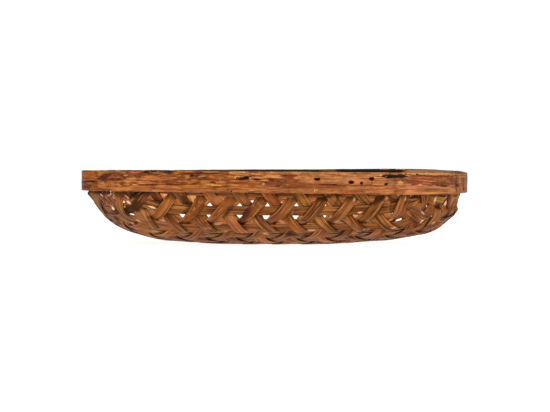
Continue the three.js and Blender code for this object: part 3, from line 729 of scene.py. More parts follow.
def build_weave():
    for j in range(-8, 7):
        splint(
            f"long_splint_{j + 9:02d}",
            np.array([0.0, j * ROW]),
            np.array([1.0, 0.0]),
            lambda u, v: np.zeros_like(u),
            100 + j,
            rng_tone.uniform(0.40, 0.62),
            HUES[rng_tone.randint(len(HUES))],
            0,
            WAVES.get(j, ([0], [0])),
        )
    for way, stem in ((-1, "right_leaning_splint"), (1, "left_leaning_splint")):
        first = -7 if way == 1 else -8
        a = np.array([way * COT, 1.0]) / SLOPE
        for k in range(first, first + 17):
            splint(
                f"{stem}_{k - first + 1:02d}",
                np.array([PHASE + k * PITCH, 0.0]),
                a,
                lambda u, v, w=way: layer(v, w),
                (200 if way < 0 else 300) + k,
                TONES[way].get(k, (rng_tone.uniform(0.36, 0.66), 0))[0],
                HUES[TONES[way][k][1] if k in TONES[way] else rng_tone.randint(len(HUES))],
                way,
                (BENDS[way].get(k, 0.0), FAR_BENDS[way].get(k, 0.0)),
            )


build_weave()

# ---------------------------------------------------------------- the rim's course
REF = 131.0
ARC = REF * math.pi / 2
LEGS = [("x", CX), ("a", ARC), ("y", 2 * CY), ("a", ARC), ("x", 2 * CX), ("a", ARC), ("y", 2 * CY), ("a", ARC), ("x", CX)]
AROUND = sum(length for _, length in LEGS)


def rim_frame(t):
    """Core point and outward direction at t millimetres round from the middle of the front."""
    t = np.mod(np.asarray(t, float), AROUND)
    x, y, turn = np.zeros_like(t), np.full_like(t, -CY), np.full_like(t, -math.pi / 2)
    rest = t.copy()
    for kind, length in LEGS:
        go = np.clip(rest, 0, length)
        if kind == "a":
            turn = turn + go / REF
        else:
            x = x - np.sin(turn) * go
            y = y + np.cos(turn) * go
        rest = rest - length
    return x, y, np.cos(turn), np.sin(turn)


def rim_point(t, r, z):
    x, y, c, s = rim_frame(t)
    x, y, c, s, r, z = np.broadcast_arrays(x, y, c, s, r, z)
    return np.stack([x + r * c, y + r * s, z], -1)


RIGHT_END = CX + REF * math.radians(62.7)
LEFT_END = -(CX + REF * math.radians(51.1))


def from_tip(t):
    return np.minimum(RIGHT_END - t, t - LEFT_END)


def front_inner(t):
    return OUTER_IN + (TIP_IN - OUTER_IN) * np.clip(1 - from_tip(t) / (LAP + LAP_LEAD), 0, 1)


def back_outer(t):
    s = np.where(t > AROUND / 2, t - AROUND, t)
    past = -from_tip(s)
    return np.where(past <= 0, front_inner(s) - GAP, TIP_IN - GAP + (CORNER - TIP_IN + GAP) * np.clip(past / 45, 0, 1))


# The marks on the front of the rim, placed by where they show in the picture: (x, y, half width, half height,
# lean in degrees, colour, strength, depth in mm).
ORANGE, TAN, BROWN, PURPLE, BLACK = (206, 128, 66), (196, 142, 92), (134, 74, 38), (98, 50, 36), (30, 16, 12)
CREAM, PINK, GREY, MAROON, GOLD = (236, 196, 138), (208, 136, 104), (128, 104, 86), (92, 36, 26), (226, 156, 66)
MARKS = [
    # left end
    (91.0, 181.2, 7.4, 1.0, -3, (58, 28, 14), 0.95, 0.5),
    (86.8, 186.6, 4.6, 2.2, 0, (92, 42, 24), 0.8, 0.0),
    (84.0, 182.9, 2.2, 0.9, 10, (70, 34, 18), 0.85, 0.1),
    (96.0, 188.5, 8.0, 0.9, 0, (120, 62, 30), 0.5, 0.0),
    (102.0, 171.8, 7.0, 1.6, -8, (200, 134, 78), 0.6, 0.0),
    (272.0, 176.2, 9.0, 1.3, 0, (236, 164, 106), 0.6, 0.0),
    (284.0, 172.6, 14.0, 1.0, 0, (226, 150, 96), 0.5, 0.0),
    (90.0, 174.6, 7.0, 3.4, 0, (196, 122, 56), 0.45, 0.0),
    (112.0, 176.2, 12.5, 4.8, -4, PURPLE, 0.78, 0.15),
    (103.5, 177.6, 5.5, 3.0, -25, (84, 36, 30), 0.7, 0.1),
    (117.4, 171.0, 2.0, 0.6, 0, CREAM, 0.75, 0.0),
    (125.5, 175.2, 2.2, 0.7, 0, (222, 168, 112), 0.8, 0.0),
    (131.0, 178.6, 5.5, 0.8, 0, (216, 156, 98), 0.7, 0.0),
    (128.0, 181.4, 4.0, 0.7, 0, PINK, 0.8, 0.0),
    (135.0, 174.2, 3.5, 2.0, 0, (158, 92, 60), 0.6, 0.0),
    (122.0, 184.4, 2.3, 0.5, 0, (60, 30, 18), 0.8, 0.3),
    (131.0, 184.9, 2.0, 0.6, 0, (50, 26, 16), 0.85, 0.3),
    (135.5, 183.2, 2.2, 0.5, 10, (62, 32, 20), 0.8, 0.3),
    (109.0, 181.8, 7.0, 0.8, 0, (184, 116, 66), 0.7, 0.0),
    # the long crack and what lies along it
    (149.0, 184.7, 12.0, 0.55, 0, (56, 26, 14), 0.95, 0.8),
    (170.0, 184.5, 12.5, 0.50, 0, (60, 28, 14), 0.95, 0.8),
    (190.0, 184.2, 15.0, 0.42, 0, (92, 44, 20), 0.9, 0.5),
    (193.0, 185.3, 12.0, 0.6, 0, (222, 140, 62), 0.75, 0.0),
    (150.0, 182.9, 6.0, 0.6, 2, PINK, 0.6, 0.0),
    (151.0, 178.0, 9.0, 2.4, 0, (214, 140, 80), 0.55, 0.0),
    (173.0, 181.2, 5.0, 2.0, 0, (150, 82, 44), 0.6, 0.0),
    # node and patch
    (187.0, 176.6, 2.4, 1.5, 0, (214, 148, 92), 0.7, 0.0),
    (199.0, 177.7, 9.5, 2.9, 5, (96, 46, 38), 0.8, 0.2),
    (191.7, 175.5, 1.7, 0.9, 0, (30, 15, 12), 0.95, 0.6),
    (203.0, 176.2, 4.5, 0.5, -4, (226, 170, 122), 0.7, 0.0),
    (212.6, 182.4, 3.8, 1.0, 3, (92, 48, 44), 0.9, 0.4),
    (214.5, 185.1, 8.4, 0.55, 2, (246, 188, 96), 0.85, 0.0),
    (218.5, 184.0, 5.0, 0.4, 4, (120, 60, 26), 0.8, 0.2),
    (205.0, 181.6, 5.0, 1.4, 0, (206, 140, 72), 0.6, 0.0),
    (204.0, 173.4, 27.0, 0.75, 1, (74, 32, 22), 0.9, 0.5),
    # burnt marks
    (238.4, 178.6, 2.7, 0.85, 0, (24, 14, 12), 0.98, 0.9),
    (242.0, 179.0, 3.0, 0.4, 0, (60, 28, 20), 0.8, 0.2),
    (246.4, 178.0, 3.6, 1.9, 0, (22, 12, 10), 0.98, 1.1),
    (250.6, 176.4, 1.7, 0.7, -25, (34, 18, 14), 0.9, 0.4),
    (242.4, 179.3, 3.0, 0.8, 8, (34, 18, 14), 0.9, 0.4),
    (256.0, 179.1, 6.6, 0.9, 2, (48, 26, 18), 0.85, 0.3),
    (257.6, 179.3, 4.8, 0.75, 4, (30, 18, 12), 0.96, 0.8),
    (264.3, 180.3, 3.6, 0.6, 0, (240, 176, 90), 0.85, 0.0),
    (252.6, 181.2, 2.4, 1.0, 0, (226, 150, 84), 0.7, 0.0),
    (253.5, 184.0, 3.0, 0.8, 0, (170, 84, 58), 0.6, 0.0),
    (263.6, 183.8, 1.4, 1.2, 0, (232, 170, 132), 0.75, 0.0),
    (231.2, 191.2, 1.1, 0.9, 0, (46, 24, 20), 0.9, 0.6),
    (248.0, 183.0, 14.0, 2.3, 0, (168, 88, 52), 0.5, 0.0),
    (240.0, 171.9, 9.0, 0.45, 2, (226, 176, 126), 0.75, 0.0),
    # the middle
    (289.0, 175.9, 8.4, 0.75, 0, (42, 20, 14), 0.97, 0.7),
    (279.5, 176.9, 3.0, 0.6, -8, (132, 112, 106), 0.75, 0.0),
    (289.0, 177.6, 5.4, 1.5, 0, (148, 74, 40), 0.7, 0.1),
    (271.6, 180.2, 3.6, 1.1, 6, (104, 34, 24), 0.85, 0.3),
    (266.0, 182.1, 4.0, 0.4, 0, (60, 28, 18), 0.85, 0.3),
    (277.4, 186.2, 3.0, 1.1, -10, (110, 44, 26), 0.85, 0.3),
    (283.0, 185.2, 3.6, 0.4, 0, (80, 36, 22), 0.8, 0.3),
    (291.0, 181.5, 3.6, 3.2, 0, (176, 92, 60), 0.5, 0.0),
    (306.0, 184.8, 13.0, 2.6, 5, (158, 84, 44), 0.7, 0.0),
    (332.5, 184.9, 10.2, 0.65, 1, (58, 26, 16), 0.95, 0.6),
    (330.0, 186.8, 14.0, 1.6, 0, (146, 76, 46), 0.6, 0.0),
    (317.2, 179.3, 3.5, 1.75, 0, (22, 9, 8), 0.99, 1.8),
    (317.0, 182.0, 3.8, 1.8, 0, (176, 96, 54), 0.7, 0.0),
    (314.8, 190.8, 0.5, 1.8, 12, (240, 190, 136), 0.9, 0.0),
    (316.6, 190.0, 0.4, 1.0, -30, (236, 186, 130), 0.8, 0.0),
    # wormholes
    (351.2, 182.2, 3.1, 1.85, 0, (26, 11, 9), 0.99, 1.7),
    (356.6, 182.6, 2.0, 1.6, 0, (228, 138, 80), 0.7, 0.0),
    (361.6, 183.1, 1.8, 1.5, 0, (40, 18, 14), 0.99, 1.4),
    (371.7, 178.8, 3.2, 2.0, 0, (22, 10, 8), 0.99, 1.7),
    (371.5, 182.6, 1.0, 2.2, 0, (160, 66, 40), 0.7, 0.1),
    (386.1, 184.1, 2.2, 1.2, 0, (44, 20, 16), 0.98, 1.2),
    (371.0, 185.6, 15.0, 0.55, 0, (132, 56, 32), 0.8, 0.3),
    (378.0, 176.6, 2.8, 0.6, 0, (110, 60, 36), 0.8, 0.2),
    (381.3, 175.4, 1.3, 0.9, 0, (244, 208, 168), 0.9, 0.0),
    (388.0, 176.2, 7.4, 1.79, 1, (18, 12, 11), 1.0, 0.3),
    (392.0, 176.8, 8.0, 1.7, -2, (20, 14, 12), 1.0, 0.3),
    (401.0, 176.4, 7.0, 1.6, -2, (38, 27, 23), 1.0, 0.3),
    (390.5, 175.9, 8.5, 1.7, 2, (40, 28, 24), 1.0, 0.0),
    (399.5, 175.6, 6.5, 1.5, 0, (44, 30, 26), 0.95, 0.0),
    (242.5, 178.3, 6.6, 1.3, -6, (34, 22, 18), 0.95, 0.1),
    # the reddish stretch near the right end
    (430.0, 180.5, 27.0, 5.0, 0, (160, 84, 52), 0.62, 0.0),
    (412.0, 181.5, 9.0, 1.6, 4, (138, 72, 60), 0.6, 0.1),
    (400.4, 182.8, 2.4, 1.9, 0, (240, 184, 140), 0.75, 0.0),
    (427.0, 180.8, 6.4, 0.55, 3, (234, 162, 128), 0.85, 0.0),
    (434.0, 185.9, 2.4, 0.6, 0, (232, 170, 130), 0.8, 0.0),
    (448.0, 181.6, 3.0, 0.8, 10, (222, 160, 116), 0.65, 0.0),
    (443.8, 183.0, 6.2, 2.2, 0, (150, 94, 58), 0.7, 0.1),
    (443.8, 186.0, 5.2, 0.7, 0, (70, 28, 20), 0.95, 0.7),
    (437.5, 184.6, 1.8, 0.5, -35, (84, 34, 22), 0.85, 0.4),
    (430.0, 173.5, 25.0, 1.5, 0, (238, 186, 140), 0.85, 0.0),
    (449.5, 174.2, 7.5, 1.3, 2, (226, 158, 118), 0.75, 0.0),
    (418.0, 172.5, 9.0, 0.4, 1, (255, 222, 186), 0.7, 0.0),
    (426.0, 175.8, 19.0, 0.6, 1, (112, 54, 34), 0.7, 0.1),
    (441.0, 173.2, 7.0, 0.4, 1, (255, 214, 178), 0.6, 0.0),
    (436.5, 174.6, 5.0, 0.8, 0, (236, 152, 72), 0.8, 0.0),
    (417.2, 174.3, 1.2, 0.9, 0, (60, 28, 18), 0.9, 0.5),
    (434.0, 176.6, 20.0, 0.6, 1, (120, 56, 34), 0.7, 0.2),
    (456.2, 184.4, 0.45, 9.8, 0, (74, 26, 18), 0.85, 0.5),
    (457.5, 185.1, 1.7, 1.4, 0, (50, 22, 18), 0.7, 0.2),
    (459.8, 180.5, 1.0, 3.0, 0, (226, 160, 104), 0.7, 0.0),
    (461.2, 187.6, 0.8, 4.0, 0, (214, 134, 80), 0.6, 0.0),
    (463.2, 183.0, 0.7, 6.5, 0, (126, 68, 38), 0.7, 0.3),
    (463.6, 189.0, 0.9, 1.8, 0, (82, 44, 22), 0.85, 0.4),
    (465.3, 187.0, 1.0, 4.6, 0, (166, 122, 84), 0.65, 0.0),
    (466.6, 181.0, 0.5, 9.0, 0, (104, 64, 38), 0.6, 0.0),
    (458.6, 174.3, 3.2, 0.8, 4, (216, 142, 100), 0.7, 0.0),
    (465.0, 174.8, 1.3, 1.0, 0, (198, 128, 76), 0.6, 0.0),
    (461.6, 175.8, 1.0, 0.7, 0, (112, 52, 32), 0.65, 0.2),
    (457.8, 175.4, 1.4, 0.5, 0, (112, 52, 32), 0.6, 0.2),
]
# Rings where the bamboo had its joints, by x in the picture: (x, half width, height in mm)
RINGS = [(182.5, 2.2, 0.5), (227.8, 2.6, 0.6), (289.5, 2.4, 0.35), (395.0, 2.8, 0.55), (97.4, 0.9, 0.35)]


def front_marks(p, rel):
    """Paint changes and depth for points on the outer face that the front view shows."""
    px, py = seen_at(p)
    depth = np.zeros(px.shape)
    wob_x = (fbm(px / 2.6, py / 1.1, 61, 4) - 0.5) * 2
    wob_y = (fbm(px / 1.4 + 40, py / 0.7, 65) - 0.5) * 2
    masks = []
    for k, (x, y, w, h, lean, rgb, strong, deep) in enumerate(MARKS):
        a = math.radians(lean)
        dx, dy = px - x, py - y
        ex, ey = (dx * math.cos(a) + dy * math.sin(a)) / w, (-dx * math.sin(a) + dy * math.cos(a)) / h
        small = 1.0 if deep == 0 else 0.45
        d = np.hypot(ex, ey) + (wob_x * 0.6 + wob_y * 0.35) * small
        m = step(1.1, 0.85, d)
        if w > 6 and h > 1.8:  # the large stains are worn through in places
            m = m * (0.45 + 0.55 * step(0.4, 0.56, fbm(px / 3.5 + k, py / 1.2, 63)))
        masks.append((m * strong, rgb))
        depth += deep * step(1.05, 0.45, d)
    return px, py, masks, depth


RIM_COLOURS = [(0.0, (84, 42, 22)), (0.25, (128, 70, 34)), (0.5, (164, 94, 46)), (0.75, (194, 121, 64)), (1.0, (228, 166, 98))]


def rim_paint(t, z, rel, seed, light=0.0):
    """Varnished bamboo skin, streaked along its length. rel is 0 at the lower edge and 1 at the top."""
    tau = 0.5 + light + (fbm(t / 90, z / 3.0, 71 + seed) - 0.5) * 0.6 + (fbm(t / 30, z / 0.9, 74 + seed) - 0.5) * 0.6
    tau = tau + (fbm(t / 9, z / 3 + 9, 77 + seed, 4) - 0.5) * 0.5
    p = ramp(np.clip(tau, 0, 1), RIM_COLOURS)
    red = step(0.5, 0.72, fbm(t / 60 + 5, z / 7, 81 + seed)) * 0.45
    p = blend_to(p, (164, 84, 50), red)
    old = step(0.56, 0.62, fbm(t / 16 + 15, z / 3, 85 + seed, 4)) * 0.5 * (0.45 + 0.55 * step(0.3, 0.5, rel))
    p = blend_to(p, (100, 52, 34), old)
    flake = step(0.6, 0.64, fbm(t / 7 + 25, z / 1.6, 87 + seed, 4)) * 0.55 * (0.4 + 0.6 * step(0.35, 0.45, rel))
    p = blend_to(p, (118, 62, 36), flake)
    pale = step(0.64, 0.7, fbm(t / 11 + 35, z / 1.1, 89 + seed, 4)) * 0.6 * (0.5 + 0.5 * step(0.3, 0.4, rel))
    p = blend_to(p, (222, 158, 98), pale)
    vein = step(0.6, 0.72, noise(t / 38 + 3, z / 0.75, 93 + seed)) * step(0.35, 0.6, fbm(t / 25, z / 4, 94 + seed))
    p = blend_to(p, (98, 48, 26), vein * 0.6)
    shine = step(0.66, 0.8, noise(t / 30 + 13, z / 0.7, 96 + seed))
    return blend_to(p, (232, 170, 102), shine * 0.4)


def band(name, t0, t1, every, inner, outer, low, top, material, seed, front=False, dark_inside=False, top_cut=None):
    """A bent band with eased, worn edges, the outer face finely divided."""
    n = int((t1 - t0) / every) + 1
    t = np.linspace(t0, t1, n)
    a, b = inner(t), outer(t)
    lo, hi = low(t), top(t)
    # the section: up the outer face, over the top, down the inner face and back along the bottom
    face = np.linspace(0, 1, 40 if front else 30)
    section = []  # (share across from inner 0 to outer 1, share up)
    section += [("o", s) for s in face]
    section += [("t", s) for s in (0.86, 0.62, 0.36, 0.14)]
    section += [("i", s) for s in np.linspace(1, 0, 18)]
    section += [("b", s) for s in (0.2, 0.5, 0.8)]
    k = len(section)
    T = np.broadcast_to(t[:, None], (n, k))
    r, z = np.zeros((n, k)), np.zeros((n, k))
    kind = np.array([s[0] for s in section])
    val = np.array([s[1] for s in section])
    ease = np.minimum(1.3, (b - a) * 0.42)[:, None]
    height = (hi - lo)[:, None]
    # upper and lower edges wander
    chip = (fbm(T[:, :1] / 7, 3.3, 91 + seed) - 0.5) * 0.8 + (fbm(T[:, :1] / 45, 1.3, 95 + seed) - 0.5) * 1.1
    chip2 = (fbm(T[:, :1] / 9, 8.3, 97 + seed) - 0.5) * 0.5 + (fbm(T[:, :1] / 60, 6.3, 99 + seed) - 0.5) * 0.9
    hi2, lo2 = hi[:, None] - 0.35 + chip * 0.6, lo[:, None] + 0.2 + chip2 * 0.6
    if top_cut is not None:
        hi2 = hi2 - top_cut(t)[:, None]
    A, B = a[:, None], b[:, None]
    for c in range(k):
        s = val[c]
        if kind[c] == "o":
            up = s
            edge = np.clip(np.minimum(up, 1 - up) * height[:, 0] / 1.3, 0, 1)
            r[:, c] = B[:, 0] - ease[:, 0] * (1 - np.sqrt(1 - (1 - edge) ** 2))
            z[:, c] = lo2[:, 0] + (hi2 - lo2)[:, 0] * up
        elif kind[c] == "t":
            r[:, c] = A[:, 0] + (B - A)[:, 0] * s
            z[:, c] = hi2[:, 0] + 0.15 * math.sin(math.pi * s)
        elif kind[c] == "i":
            edge = np.clip(np.minimum(s, 1 - s) * height[:, 0] / 1.0, 0, 1)
            r[:, c] = A[:, 0] + ease[:, 0] * 0.6 * (1 - np.sqrt(1 - (1 - edge) ** 2))
            z[:, c] = lo2[:, 0] + (hi2 - lo2)[:, 0] * s
        else:
            r[:, c] = A[:, 0] + (B - A)[:, 0] * s
            z[:, c] = lo2[:, 0] - 0.1 * math.sin(math.pi * s)
    rel = (z - lo[:, None]) / height
    flat = rim_point(T, r, z)
    out_face = (kind == "o")[None] & np.ones((n, 1), bool)
    in_face = (kind == "i")[None] & np.ones((n, 1), bool)
    relief = (fbm(T / 50, z / 8, 101 + seed) - 0.5) * 0.7 + (fbm(T / 24, z / 1.5, 103 + seed) - 0.5) * 0.22
    paint = rim_paint(T, z, rel, seed)
    lower = step(0.42, 0.34, rel)
    paint = blend_to(paint, (196, 122, 68), lower * 0.45 * out_face)
    if front:
        px, py, masks, depth = front_marks(warp(flat), rel)
        shown = out_face * step(20, -10, flat[..., 1] + 60) * (kind == "o")[None]
        # broad colour zones along the front: a weathered upper part over a cleaner lower strip
        jag = (fbm(px / 5, py / 3, 141, 4) - 0.5) * 2.4
        strip = step(185.2, 186.2, py + jag * 0.5)
        paint = blend_to(paint, (150, 84, 38), step(98, 96.8, px) * 0.55 * shown)
        paint = blend_to(paint, (186, 110, 56), strip * step(104, 130, px) * 0.5 * shown)
        paint = blend_to(paint, (200, 124, 72), strip * step(350, 362, px) * step(418, 404, px) * 0.6 * shown)
        paint = blend_to(paint, (170, 98, 52), (1 - strip) * step(139, 144, px) * step(230, 224, px) * 0.35 * shown)
        mott = step(97.6, 99.5, px + jag) * step(143, 137, px + jag * 2) * step(182.6, 180.4, py + jag * 0.5)
        paint = blend_to(paint, (132, 68, 44), mott * 0.55 * shown)
        blot = fbm(px / 5.5, py / 1.7 + 7, 161, 4)
        paint = blend_to(paint, (94, 44, 34), step(0.52, 0.6, blot) * mott * 0.6 * shown)
        paint = blend_to(paint, (206, 128, 88), step(0.45, 0.36, blot) * mott * 0.65 * shown)
        shreds = step(0.56, 0.63, fbm(px / 9 + 31, py / 0.9, 163, 4)) * step(140, 150, px) * step(234, 226, px)
        paint = blend_to(paint, (120, 64, 38), shreds * 0.5 * shown)
        orange = step(0.58, 0.66, fbm(px / 12 + 61, py / 1.0, 165, 4)) * step(183.5, 184.5, py)
        paint = blend_to(paint, (208, 132, 74), orange * 0.35 * shown)
        worn = step(0.57, 0.64, fbm(px / 6 + 81, py / 1.1, 167, 4)) * step(184.8, 186.2, py)
        paint = blend_to(paint, (136, 74, 44), worn * 0.3 * shown)
        light = (1 - step(177.6, 179.2, py + jag)) * step(226, 236, px) * step(300, 292, px)
        paint = blend_to(paint, (204, 132, 78), light * 0.6 * shown)
        line = np.interp(px, [262, 294, 300, 311, 323, 341, 350, 365, 391, 403], [177.5, 179.5, 182.8, 184.0, 183.9, 184.8, 185.2, 185.2, 185.0, 186.0])
        gap = py - line + jag * 0.45
        upper = step(0.35, -0.35, gap) * step(290, 297, px) * step(405, 397, px)
        paint = blend_to(paint, (208, 134, 78), upper * 0.62 * shown)
        brown = step(-0.2, 0.5, gap) * step(262, 268, px) * step(352, 342, px) * step(189.5, 187.2, py + jag * 0.4)
        paint = blend_to(paint, (140, 76, 44), brown * 0.68 * shown)
        # painted shadow: a dark line along the lower side of the step where the upper varnish ends
        paint = blend_to(paint, (96, 44, 26), np.exp(-(((gap - 0.45) / 0.42) ** 2)) * step(292, 298, px) * step(404, 396, px) * 0.7 * shown)
        relief = relief - 0.22 * step(-0.2, 0.5, gap) * step(292, 298, px) * step(404, 396, px) * step(189.5, 187.2, py) * shown
        red = step(398, 406, px) * step(188.5, 186.5, py + jag) * step(175.2, 176.6, py + jag * 0.6)
        paint = blend_to(paint, (150, 78, 46), red * 0.6 * shown)
        vein = step(0.54, 0.62, fbm(px / 7, py / 1.1 + 3, 147, 4)) * red
        paint = blend_to(paint, (92, 44, 36), vein * 0.65 * shown)
        fleck = step(0.6, 0.66, fbm(px / 5 + 17, py / 0.8 + 3, 149, 4)) * red
        paint = blend_to(paint, (222, 146, 106), fleck * 0.6 * shown)
        calm = 0.74 - 0.34 * step(298, 306, px) * step(404, 396, px) * step(0.2, -0.6, gap) - 0.38 * strip
        rough = 3.0 * (fbm(px / 9, py / 1.15, 171, 4) - 0.5) + 2.2 * (fbm(px / 3.2, py / 1.5 + 5, 175, 3) - 0.5) + 1.6 * (fbm(px / 30, py / 0.8 + 9, 178, 3) - 0.5)
        paint = paint * (1 + (np.exp(rough * calm) - 1) * shown)[..., None]
        paint = paint * (1 + np.array([0.15, 0.0, -0.5]) * (step(98.6, 97.0, px) * shown)[..., None])
        paint = paint * (1 - 0.42 * step(180.2, 181.2, py + jag * 0.3) * step(98.6, 97.0, px) * shown)[..., None]
        paint = blend_to(paint, (236, 156, 100), strip * step(402, 410, px) * step(456, 454, px) * 0.66 * shown)
        paint = blend_to(paint, (26, 14, 10), step(1.15, 0.85, np.hypot((px - 158) / 17.5, (py - 172.0) / 2.0) + jag * 0.04) * 0.97 * shown)
        dark_line = step(0.6, 0.7, fbm(px / 14 + 71, py / 0.75, 181, 3)) * strip
        paint = blend_to(paint, (112, 54, 32), dark_line * 0.6 * shown)
        thread = step(0.62, 0.72, noise(px / 17 + 91, py / 0.8, 183)) * step(0.35, 0.55, fbm(px / 20, py / 3 + 4, 184))
        paint = blend_to(paint, (122, 62, 38), thread * 0.55 * shown)
        gleam = step(0.64, 0.74, noise(px / 13 + 55, py / 0.8 + 3, 185)) * step(0.4, 0.55, fbm(px / 16, py / 3 + 14, 186))
        paint = blend_to(paint, (226, 150, 92), gleam * 0.5 * shown)
        paint = blend_to(paint, (190, 118, 68), step(456.0, 457.4, px) * 0.45 * shown)
        cool = step(98, 99, px) * (0.2 + 0.3 * step(256, 270, px))
        paint = paint * (1 + np.array([0.0, 0.16, 1.0]) * (cool * shown)[..., None])
        for m, rgb in masks:
            paint = blend_to(paint, rgb, m * shown)
        relief = relief - depth * shown
        for x, w, high in RINGS:
            g = np.exp(-(((px - x) / w) ** 2))
            wave = (fbm(py / 2.0, 3.0 + x, 107) - 0.5) * 1.2
            line = np.exp(-(((px - x - wave) / (w * 0.38)) ** 2))
            relief = relief + (high * g - 0.3 * line) * shown
            patchy = 0.35 + 0.65 * step(0.4, 0.6, fbm(px / 3, py / 3, 143))
            if 388 < x < 400:  # the burn runs on over this ring
                patchy = patchy * step(177.2, 178.6, py)
            paint = blend_to(paint, (144, 74, 40), g * 0.35 * patchy * shown)
            paint = blend_to(paint, (104, 50, 28), line * 0.45 * patchy * shown)
    # the same kinds of marks where no picture shows them
    rs = np.random.RandomState(500 + seed)
    for _ in range(0 if dark_inside else int((t1 - t0) / 16)):
        tc, zc = rs.uniform(t0, t1), rs.uniform(0.15, 0.92)
        size, what = rs.uniform(0.6, 1.4), rs.randint(0, 6)
        hidden = step(-30, 30, flat[..., 1] + 60) if front else np.ones_like(T)
        d = np.hypot((T - tc) / (size * (14 if what < 3 else 3.4)), (rel - zc) * 30 / (size * (1.4 if what < 3 else 1.9)))
        d = d + (fbm(T / 4, z / 2, 111) - 0.5) * 0.7
        m = step(1.15, 0.75, d) * out_face * hidden
        rgb, deep = [((86, 42, 28), 0.35), ((226, 160, 96), 0.0), ((150, 80, 48), 0.1), ((34, 17, 13), 1.3), ((106, 56, 40), 0.3), ((44, 24, 18), 0.9)][what]
        paint = blend_to(paint, rgb, m * 0.8)
        relief = relief - deep * m
    for q in np.arange(t0 + 60, t1 - 20, 190.0) + rs.uniform(-30, 30, len(np.arange(t0 + 60, t1 - 20, 190.0))):
        hidden = step(-30, 30, flat[..., 1] + 60) if front else np.ones_like(T)
        g = np.exp(-(((T - q) / 3.4) ** 2)) * (out_face | in_face) * hidden
        relief = relief + 0.5 * g
        paint = blend_to(paint, (150, 82, 46), g * 0.45)
        paint = blend_to(paint, (96, 50, 30), np.exp(-(((T - q - 4.5) / 1.0) ** 2)) * 0.5 * (out_face | in_face) * hidden)
    # the split faces of the band: paler, darkened with age
    cut = (kind == "t")[None] | (kind == "b")[None] | in_face
    raw = ramp(np.clip(0.5 + (fbm(T / 60, r / 1.5 + z / 2.5, 121 + seed) - 0.5) * 1.3, 0, 1), [(0, (92, 56, 34)), (0.5, (150, 100, 62)), (1, (204, 154, 104))])
    paint = np.where(cut[..., None], raw, paint)
    fx, _ = seen_at(warp(flat))
    far = step(0, 60, flat[..., 1])
    turned = far * step(404, 409, fx)
    ragged = 3 + 44 * np.clip(0.9 - rel, 0, 1)
    # a near-black stretch on the far band's top and inner face
    black_stretch = far * step(334.5, 337.5, fx + (fbm(T / 9, z / 1.5, 151) - 0.5) * ragged) * step(403, 400, fx + (fbm(T / 9, z / 1.5, 153) - 0.5) * ragged)
    if dark_inside:
        # darker streaks on the inner face, fading out along the grain, most raggedly low on the band
        stray = (fbm(T / 26, z / 1.4, 155) - 0.5) * (5 + 66 * (1 - rel)) + (fbm(T / 70, z / 9, 157) - 0.5) * 20 * (1.1 - rel)
        sx = fx + stray
        patch = far * (step(136, 146, sx) * step(178, 170, sx) + step(182, 192, sx) * step(236, 226, sx) * 0.5 + step(229, 239, sx) * step(324, 315, sx) * 0.9)
        dark_streaks = step(0.15, 0.75, rel + (fbm(T / 34, z / 5, 127) - 0.5) * 1.0)
        dark_streaks = dark_streaks * np.clip(patch + black_stretch + 0.35 * (1 - far) + 0.3, 0, 1)
        paint = blend_to(paint, (40, 22, 14), dark_streaks * 0.94 * in_face)
        paint = blend_to(paint, (96, 56, 34), (kind == "t")[None] * 0.6)
        paint = blend_to(paint, (206, 122, 62), step(0.35, 0.1, rel) * in_face * 0.5)
        paint = blend_to(paint, (226, 168, 122), turned * step(0.4, 0.6, rel) * (in_face | (kind == "t")[None]) * 0.85)
    if front or dark_inside:
        paint = blend_to(paint, (220, 154, 108), turned * (kind == "t")[None] * 0.7)
        # the near-black stretch on the top and inner face
        paint = blend_to(paint, (17, 10, 8), black_stretch * ((kind == "t")[None] | in_face) * step(0.3, 0.5, rel) * 0.95)
    edge_wear = np.exp(-((np.minimum(rel, 1 - rel) * height / 0.9) ** 2)) * out_face
    paint = blend_to(paint, (226, 170, 112), edge_wear * step(0.45, 0.62, fbm(T / 12, 5.0, 131 + seed)) * 0.6)
    paint = blend_to(paint, (84, 44, 28), edge_wear * step(0.55, 0.7, fbm(T / 15, 9.0, 133 + seed)) * 0.7)
    r = r + relief * np.where(out_face, 1.0, np.where(in_face, -0.4, 0.0))
    pts = warp(rim_point(T, r, z))
    faces = ring_faces(n, k)
    caps = pts[[0, -1]].mean(1)
    cap_paint = np.array([linear((150, 104, 68)), linear((150, 104, 68))])
    points = np.concatenate([pts.reshape(-1, 3), caps])
    for row, centre in ((0, n * k), (n - 1, n * k + 1)):
        for c in range(k):
            tri = [row * k + c, row * k + (c + 1) % k, centre]
            faces.append(tri[::-1] if row == 0 else tri)
    g = np.stack([T + seed * 900.0, z + r, np.full_like(T, 3.0)], -1).reshape(-1, 3)
    g = np.concatenate([g, g[[0, -1]]])
    return finish_piece(name, points, faces, np.concatenate([paint.reshape(-1, 3), cap_paint]), g, material)


def dip(t):
    """How much of the front band's upper edge has worn or broken away."""
    x = rim_frame(t)
    p = rim_point(t, np.full_like(t, CORNER), np.full_like(t, RIM_TOP))
    px, _ = seen_at(warp(p))
    cut = 2.5 * step(140, 144, px) * step(178, 174, px)
    cut = cut - 0.5 * step(104, 112, px) * step(139, 135, px)
    cut = cut + 0.35 * step(205, 212, px) * step(234, 228, px)
    return cut


